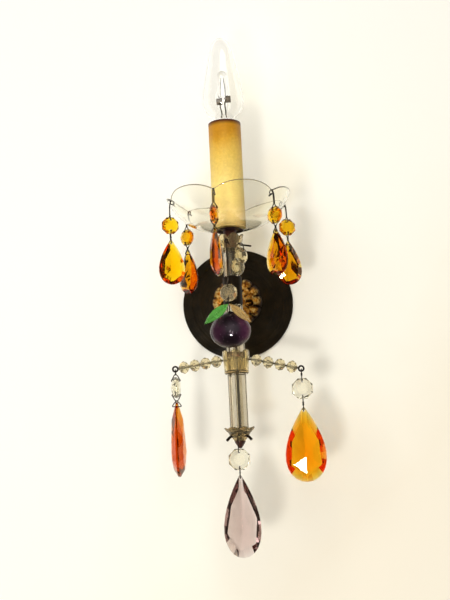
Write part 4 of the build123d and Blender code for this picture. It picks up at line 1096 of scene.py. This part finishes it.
def makeDrop(prefix, kind, material):
    values = drops[kind]
    face = hingeFace(prefix + "_drop_swing")
    node = prefix + "_drop"
    centre = centreOf(node)
    centre.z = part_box(node)[1].z / mm - values["length"] / 2
    shape = pearShape(
        values["width"], values["length"], values["thickness"], values["border"], values["slope"],
        drops["turned"].get(prefix, 2),
    )
    piece = finishPiece(
        prefix + "PearDrop", shape, material, prefix + "_pendant", [node],
        sharp=2, place=facing(centre, face),
    )
    top = centre + Vector((0, 0, values["length"] / 2 - drops["holeEdge"]))
    cutHoles(piece, [(top, face, holeWidth, values["thickness"] * 2)])
    piece.data.set_sharp_from_angle(angle=radians(2))
    return piece


def makeDrops():
    for prefix, kind, material, slotName in (
        ("rim_1", "rim", orangeGlass, "orange_glass"),
        ("rim_2", "rim", yellowGlass, "yellow_glass"),
        ("rim_3", "rim", orangeGlass, "orange_glass"),
        ("rim_4", "rim", orangeGlass, "orange_glass"),
        ("rim_5", "rim", orangeGlass, "orange_glass"),
        ("left", "branch", tawnyGlass, "orange_glass"),
        ("right", "branch", amberGlass, "amber_glass"),
        ("centre", "centre", amethystGlass, "amethyst_glass"),
    ):
        makeDrop(prefix, kind, material)


makeDrops()
print("drops made")

# Wires: each link is one loop of wire through two holes, twisted between them
wires = {
    "diameter": 0.85, "twist": 0.42, "turns": 1.0,
    # for each kind of end: how far from the hole, and half the loop's width there
    "small": ((0, 3.15), (1.0, 2.8), (2.4, 2.05), (3.5, 1.45), (4.3, 0.5)),
    "large": ((0, 3.6), (1.2, 3.2), (2.9, 2.3), (4.5, 1.45), (5.2, 0.5)),
    "rim": ((0, 2.8), (1.8, 2.2), (3.6, 1.1), (4.3, 0.5)),
    "branch": ((0, 3.6), (1.8, 2.8), (3.6, 1.35), (4.3, 0.5)),
    "eye": ((0, 1.05), (1.2, 1.25), (2.6, 0.9), (3.2, 0.5)),
}


def linkShape(top, topFace, topKind, low, lowFace, lowKind):
    # from the hole at top to the hole at low
    topTurn, lowTurn = atan2(topFace.y, topFace.x), atan2(lowFace.y, lowFace.x)
    lowTurn += pi * round((topTurn - lowTurn) / pi) + 2 * pi * wires["turns"]
    topSide, lowSide = Vector((cos(topTurn), sin(topTurn), 0)), Vector((cos(lowTurn), sin(lowTurn), 0))
    up = (top - low).normalized()
    first, last = top - up * wires[topKind][-1][0], low + up * wires[lowKind][-1][0]
    strands = []
    for sign in (1, -1):
        run = [top - up * away + topSide * half * sign for away, half in wires[topKind]]
        for k in range(1, 8):
            turn = topTurn + (lowTurn - topTurn) * k / 8
            run.append(first.lerp(last, k / 8) + Vector((cos(turn), sin(turn), 0)) * wires["twist"] * sign)
        run += [low + up * away + lowSide * half * sign for away, half in reversed(wires[lowKind])]
        strands.append(run)
    # the ends of the wire lie side by side in the upper hole
    past = topSide * 0.4
    beside = Vector((-past.y, past.x, 0)) * 0.08
    run = [top - past + beside] + strands[0] + [low] + strands[1][::-1] + [top + past - beside]
    return wireShape(run, wires["diameter"], smooth=3)


def holeOf(node, kind, up):
    # the upper or lower hole of an octagon
    return centreOf(node) + Vector((0, 0, octagons[kind][2] * up))


def dropHole(prefix):
    middle = centreOf(prefix + "_drop")
    return Vector((middle.x, middle.y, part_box(prefix + "_drop")[1].z / mm - drops["holeEdge"]))


def makeLinks():
    for prefix, kind, dropKind in (
        ("rim_1", "small", "rim"), ("rim_2", "small", "rim"), ("rim_3", "small", "rim"),
        ("rim_4", "small", "rim"), ("rim_5", "small", "rim"), ("left", "large", "branch"),
        ("right", "large", "branch"), ("centre", "large", "branch"),
    ):
        bm = linkShape(
            holeOf(prefix + "_bead", kind, -1), hingeFace(prefix + "_octagon_swing"), kind,
            dropHole(prefix), hingeFace(prefix + "_drop_swing"), dropKind,
        )
        name, link = prefix + "LinkWire", prefix + "_link"
        finishPiece(name, bm, blackWire, prefix + "_pendant", [link], sharp=60)
    for prefix, eye in (("left", branchEyes[0]), ("right", branchEyes[1])):
        bm = linkShape(
            eye + Vector((0, -stemOut, -0.6)), Vector((0, 1, 0)), "eye",
            holeOf(prefix + "_bead", "large", 1), hingeFace(prefix + "_octagon_swing"), "large",
        )
        finishPiece(prefix + "BranchHook", bm, blackWire, "sconce", ["branch_hooks"], sharp=60)
    bm = linkShape(
        holeOf("right_strand_bead_upper", "small", -1), hingeFace("right_strand_upper_swing"), "small",
        holeOf("right_strand_bead_lower", "small", 1), hingeFace("right_strand_lower_swing"), "small",
    )
    finishPiece(
        "strandLinkWire", bm, blackWire, "right_strand_lower", ["strand_link"], sharp=60,
    )


makeLinks()

# Crown pins: wires from the holes of the upper and bottom cups
pins = {
    "start": 7.4, "plumEnd": 19.0, "free": 18.5, "freeWire": 1.5,
    "tipStart": 5.6, "tipEnd": 11.8, "tipFall": 4.0, "tipWire": 2.3,
}


def makeCrownPins():
    whole = bmesh.new()
    turn, start, z = crowns["upper"]["turn"], pins["start"], crowns["upper"]["hole"]

    def addPin(angle, run, wire=wires["diameter"], sides=8):
        # run holds places of (reach from the stem's axis, height)
        addTo(whole, wireShape([stemPoint(angle, r, up) for r, up in run], wire, sides=sides))

    def reachOf(hole):
        return hypot(hole.x, hole.y + stemOut)

    for node, angle in (("left_strand_bead", turn - 60), ("right_strand_bead_upper", turn + 60)):
        hole = holeOf(node, "small", 1)
        reach = reachOf(hole)
        addPin(angle, [
            (start, z), (reach - 1.5, z), (reach + 1.6, z - 0.8), (reach + 3.1, hole.z + 2.4),
            (reach + 3.2, hole.z + 0.5), (reach + 1.5, hole.z), (reach - 3.2, hole.z),
        ])
    addPin(turn, [(start, z), (pins["plumEnd"], z), (pins["plumEnd"] + 1.0, z + 2.2)])
    addPin(turn + 120, [(start, z), (12.0, z + 0.2), (pins["free"], z - 0.5)], pins["freeWire"])
    turn, start, z = tipCrown["turn"], pins["tipStart"], tipCrown["hole"]
    hole = holeOf("centre_bead", "large", 1)
    reach = reachOf(hole)
    addPin(turn, [
        (start, z), (reach + 2.0, z), (reach + 3.5, z - 1.6), (reach + 3.6, hole.z + 1.2),
        (reach + 2.6, hole.z), (reach - 3.6, hole.z),
    ])
    run = [(start, z), (8.4, z - 1.0), (pins["tipEnd"], z - pins["tipFall"])]
    for angle in (turn - 60, turn + 60):
        addPin(angle, run, pins["tipWire"], sides=10)
    return finishPiece("crownPinWires", whole, blackWire, "sconce", ["crown_pins"], sharp=60)


makeCrownPins()
print("wires made")

# Plum: a fruit of dark purple glass cased in clear glass, hung from the wire set in its top
plumFruit = {
    "width": 34.0, "height": 30.0, "thickness": 19.0, "top": -21.5,
    "heart": 0.86, "heartShift": (0.9, 0, 0.6),
}
plumOutline = (  # share of the height below the top, and share of half the width there
    (0.0, 0.06), (0.025, 0.16), (0.05, 0.3), (0.10, 0.5), (0.18, 0.68), (0.27, 0.82), (0.40, 0.95),
    (0.52, 1.0), (0.64, 0.98), (0.75, 0.9), (0.84, 0.77), (0.92, 0.58), (0.97, 0.4), (0.995, 0.16),
    (1.0, 0.0),
)
plumHang = Vector((-2.505, -105.825, 0))  # where its wire hangs, in the part's frame


def plumCoreMaterial():
    # the dark purple heart of the fruit, with painted light that makes it mauve on its right side and reddish
    # on its left, and tiny bubbles
    material, tree = newMaterial("plumHeart")
    place = addNode(tree, "TexCoord").outputs["Object"]
    across = addNode(tree, "SeparateXYZ", {"Vector": place}).outputs["X"]
    cloud = noiseAt(tree, place, 9, 4, 0.6)
    drift = addNode(tree, "Math", {0: cloud, 1: 0.014, 2: across}, operation="MULTIPLY_ADD").outputs[0]
    # the ramp runs across the fruit; its lighter ends are painted light, mauve on the right and reddish on
    # the left
    tone = rampColour(tree, rampValue(tree, drift, 0, 1, -6 * mm, 20 * mm), (
        (0.0, "#4a2640"), (0.25, "#170a18"), (0.6, "#1c0c1e"), (0.85, "#5a3450"), (1.0, "#8a6078"),
    ))
    bubbles = addNode(tree, "TexVoronoi", {"Vector": place, "Scale": 1 / (2.6 * mm)}).outputs["Distance"]
    spots = rampValue(tree, bubbles, 1, 0, 0.05, 0.12)
    shader = addNode(tree, "BsdfPrincipled", {
        "Base Color": mixColour(tree, spots, tone, hexColour("#b8a8b8")),
        "Roughness": 0.3,
        "Specular IOR Level": 0.3,
        "Normal": bumpFrom(tree, cloud, 0.1),
    })
    addNode(tree, "OutputMaterial", {"Surface": shader.outputs["BSDF"]})
    return material


plumHeart = plumCoreMaterial()


def makePlum():
    outline = smoothLine([(share, -down, 0) for down, share in plumOutline], 3)
    middle = plumHang + Vector((0, 0, plumFruit["top"])) - Vector((0, 0, plumFruit["height"] / 2))
    place = facing(middle, hingeFace("plum_swing")) @ Matrix.Rotation(radians(-90), 4, "X")
    size = (plumFruit["width"] / 2, plumFruit["thickness"] / 2, plumFruit["height"])
    for name, material, shrink, shift, replaced in (
        ("glassPlum", plumGlass, 1.0, (0, 0, 0), ["plum"]),
        ("plumHeart", plumHeart, plumFruit["heart"], plumFruit["heartShift"], ()),
    ):
        bm = spun([(0, 0)] + [(max(p.x, 0), p.y) for p in outline], 72, closed=False)
        bmesh.ops.translate(bm, vec=(0, 0, 0.5), verts=bm.verts)  # so that it shrinks about its middle
        bmesh.ops.scale(bm, vec=[n * shrink for n in size], verts=bm.verts)
        bmesh.ops.translate(bm, vec=shift, verts=bm.verts)
        finishPiece(name, bm, material, "plum_cluster", replaced, sharp=80, place=place)


makePlum()

# Leaves: pressed glass blades with a raised middle rib and side veins
leafBlade = {
    "green": {"length": 27.5, "width": 8.2, "out": 18.7, "down": 17.0},
    "clear": {"length": 29.5, "width": 6.6, "out": 21.5, "down": 19.2},
    "thickness": 1.7, "root": -5.3, "stand": 5.5, "ring": -10.6, "veins": 11,
}


def makeLeaf(name, node, kind, side, material):
    # side is -1 for the leaf on the left and 1 for the one on the right
    values = leafBlade[kind]
    length, width = values["length"], values["width"]
    bm = bmesh.new()
    bmesh.ops.create_grid(bm, x_segments=44, y_segments=16, size=0.5)
    for vert in bm.verts:
        along, across = vert.co.x + 0.5, vert.co.y * 2
        half = width / 2 * max(0, sin(pi * along**0.86)) ** 0.85 * (1 + 0.03 * sin(along * 40))
        vein = max(0, cos((along * leafBlade["veins"] - abs(across) * 2.2) * 2 * pi)) * (1 - abs(across))
        relief = (0.5 * max(0, 1 - abs(across) * 7) + 0.22 * vein) * min(1, sin(pi * along) * 2)
        cup = -0.5 * (1 - across**2)
        vert.co = Vector((length * (0.004 + 0.992 * along), half * across, cup + relief))
    bmesh.ops.remove_doubles(bm, verts=bm.verts, dist=0.02)
    bmesh.ops.recalc_face_normals(bm, faces=bm.faces)
    bmesh.ops.solidify(bm, geom=bm.faces[:], thickness=leafBlade["thickness"] * 0.7)
    face = hingeFace("plum_swing")
    hang = facing(plumHang + Vector((0, 0, leafBlade["ring"])), face)
    base = hang @ Vector((side * 0.7, leafBlade["root"], 2.2))
    forward = plumFruit["thickness"] / 2 + leafBlade["stand"]
    tip = hang @ Vector((side * values["out"], leafBlade["root"] - values["down"], forward))
    along = (tip - base).normalized()
    normal = along.cross(along.cross(face).normalized())
    if normal.dot(face) < 0:
        normal = -normal
    place = Matrix.Translation(base) @ Matrix((along, normal.cross(along), normal)).transposed().to_4x4()
    return finishPiece(name, bm, material, "plum_cluster", [node], sharp=30, place=place)


makeLeaf("greenLeaf", "green_leaf", "green", -1, greenGlass)
makeLeaf("clearLeaf", "clear_leaf", "clear", 1, oliveGlass)
print("plum and leaves made")


def setFinish(nodeName, finish):
    cadNodes[nodeName].data.materials.clear()
    cadNodes[nodeName].data.materials.append(finish)


# Pieces of the model that are shown as they are
keptFinishes = {
    zincPlate: ("wall_bracket",),
    darkBrass: ("boss_screws",),
    agedBrass: ("arm_tube",),
    darkIron: ("stem_hub", "stem_tube", "stem_rod"),
    maroonEnamel: ("stem_nuts",),
    phenolic: ("socket_body", "terminal_block"),
    shellBrass: ("socket_shell",),
    capNickel: ("bulb_cap",),
    leadRubber: ("lead_wires",),
    blackWire: ("branch_wires", "plum_link"),
    nickelPlate: ("plum_wire",),
}
for finish, nodeNames in keptFinishes.items():
    for nodeName in nodeNames:
        setFinish(nodeName, finish)

# Nodes behind the pieces that replace them have the same finish
hiddenFinishes = {
    "bobeche": dishGlass, "candle_sleeve": candleCard, "bulb_glass": bulbGlass, "bulb_mount": capsuleGlass,
    "drip_pan": darkEnamel, "backplate": bronzeLacquer, "centre_boss": gilding, "glass_crowns": crownGlass,
    "glass_columns": columnGlass, "branch_beads": beadGlass, "plum": plumGlass, "green_leaf": greenGlass,
    "clear_leaf": oliveGlass, "crown_pins": blackWire, "rim_hooks": blackWire, "branch_hooks": blackWire,
}
for nodeName in cadNodes:
    if nodeName in hiddenFinishes:
        setFinish(nodeName, hiddenFinishes[nodeName])
    elif nodeName.endswith("_link"):
        setFinish(nodeName, blackWire)
print("finishes set")

# Stage: the wall that the light is fixed to
# the warm tone is painted shade on the lower right of the wall
stageValues = {"shadedWarm": "#f6efdf", "pale": "#fffffc", "wallSize": 3.2}


def wallMaterial():
    # emulsion paint: nearly white, with painted shade that makes it warmer and darker towards the lower
    # right, and a faint roller texture
    material, tree = newMaterial("paintedWall")
    place = addNode(tree, "TexCoord").outputs["Object"]
    axes = addNode(tree, "SeparateXYZ", {"Vector": place})
    # runs from the upper left to the lower right; the ramp along it paints the shade of the light falling off
    down = addNode(tree, "Math", {0: axes.outputs["X"], 1: axes.outputs["Z"]}, operation="SUBTRACT")
    drift = noiseAt(tree, place, 120, rough=0.5)
    share = addNode(tree, "Math", {0: drift, 1: 0.12, 2: down.outputs[0]}, operation="MULTIPLY_ADD")
    tone = rampColour(tree, rampValue(tree, share.outputs[0], 0, 1, -0.2, 0.42), (
        (0.0, stageValues["pale"]), (0.5, "#fdfcf4"), (0.7, "#fbf9ee"), (0.88, stageValues["shadedWarm"]),
    ))
    shader = addNode(tree, "BsdfPrincipled", {
        "Base Color": tone, "Roughness": 0.9, "Specular IOR Level": 0.2,
        "Normal": bumpFrom(tree, noiseAt(tree, place, 5, 4, 0.6), 0.08),
    })
    clear = addNode(tree, "BsdfTransparent")
    back = addNode(tree, "NewGeometry").outputs["Backfacing"]
    surface = addNode(tree, "MixShader", {0: back, 1: shader.outputs["BSDF"], 2: clear.outputs["BSDF"]})
    addNode(tree, "OutputMaterial", {"Surface": surface.outputs["Shader"]})
    return material


def makeStage():
    bm = bmesh.new()
    place = Matrix.Translation((0, 0.0002, 0)) @ wallPlace  # a hair behind the backplate
    bmesh.ops.create_grid(bm, x_segments=1, y_segments=1, size=stageValues["wallSize"] / 2, matrix=place)
    mesh = bpy.data.meshes.new("stageWall")
    bm.to_mesh(mesh)
    bm.free()
    mesh.materials.append(wallMaterial())
    wall = bpy.data.objects.new("stageWall", mesh)
    bpy.context.scene.collection.objects.link(wall)


makeStage()

# Lights: a wide soft window high on the left, and a small lamp low on the left that draws the shadows
lamps = {  # places and sizes in metres
    "key": {"at": (-0.27, -1.59, -0.55), "size": 0.21, "watts": 7.5, "colour": "#fffdf8"},
    "window": {"at": (-0.6, -3.0, 0.45), "size": 3.4, "watts": 80, "colour": "#fffdf8"},
}
aim = Vector((0, -0.06, -0.03))


def addLamp(name, values):
    data = bpy.data.lights.new(name, "AREA")
    data.shape = "DISK"
    data.size = values["size"]
    data.energy = values["watts"]
    data.color = hexColour(values["colour"])[:3]
    lamp = bpy.data.objects.new(name, data)
    lamp.location = values["at"]
    lamp.rotation_euler = (aim - Vector(values["at"])).to_track_quat("-Z", "Y").to_euler()
    lamp.visible_glossy = values["size"] < 1  # the wide window is too even to draw highlights
    bpy.context.scene.collection.objects.link(lamp)


for lampName, lampValues in lamps.items():
    addLamp(lampName, lampValues)


def makeWorld():
    # a pale room, dimmer in front: the camera, gloss and glass see it, and matt surfaces get a soft light
    world = bpy.data.worlds.new("room")
    world.use_nodes = True
    tree = world.node_tree
    tree.nodes.clear()
    direction = addNode(tree, "TexCoord").outputs["Generated"]
    axes = addNode(tree, "SeparateXYZ", {"Vector": direction})
    tone = rampColour(tree, rampValue(tree, axes.outputs["Y"], 0, 1, -1, 1), (
        (0.0, "#4e473e"), (0.36, "#4e473e"), (0.46, "#8a8276"), (0.54, "#ece6da"), (1.0, "#fbf6ea"),
    ))
    rays = addNode(tree, "LightPath")
    sees = rays.outputs["Is Camera Ray"]
    for other in ("Is Glossy Ray", "Is Transmission Ray"):
        sees = addNode(tree, "Math", {0: sees, 1: rays.outputs[other]}, operation="MAXIMUM").outputs[0]
    seen = addNode(tree, "Background", {"Color": tone, "Strength": 1.0})
    room = addNode(tree, "Background", {"Color": hexColour("#dcd4c4"), "Strength": 0.3})
    surface = addNode(tree, "MixShader", {
        0: sees, 1: room.outputs["Background"], 2: seen.outputs["Background"],
    })
    addNode(tree, "OutputWorld", {"Surface": surface.outputs["Shader"]})
    bpy.context.scene.world = world


makeWorld()
bpy.context.scene.view_settings.view_transform = "Standard"

# Camera: a metre away, looking up by nine degrees from a little to the right, and rolled as the photograph is
cameraValues = {
    "lens": 71.4, "away": 985.0, "turn": 2.8, "eyeZ": -165.0, "aim": (-6.8, -stemOut, -9.1), "roll": 2.8,
}


def makeCamera():
    turn = radians(cameraValues["turn"])
    away = cameraValues["away"]
    eye = Vector((away * sin(turn), -stemOut - away * cos(turn), cameraValues["eyeZ"]))
    ahead = (Vector(cameraValues["aim"]) - eye).normalized()
    right = ahead.cross(Vector((0, 0, 1))).normalized()
    up = right.cross(ahead)
    roll = radians(cameraValues["roll"])
    right, up = right * cos(roll) - up * sin(roll), up * cos(roll) + right * sin(roll)
    data = bpy.data.cameras.new("camera")
    data.lens = cameraValues["lens"]
    data.sensor_width = 36
    camera = bpy.data.objects.new("camera", data)
    camera.matrix_world = Matrix.Translation(eye * mm) @ Matrix((right, up, -ahead)).transposed().to_4x4()
    bpy.context.scene.collection.objects.link(camera)
    bpy.context.scene.camera = camera


makeCamera()

print("scene ready")
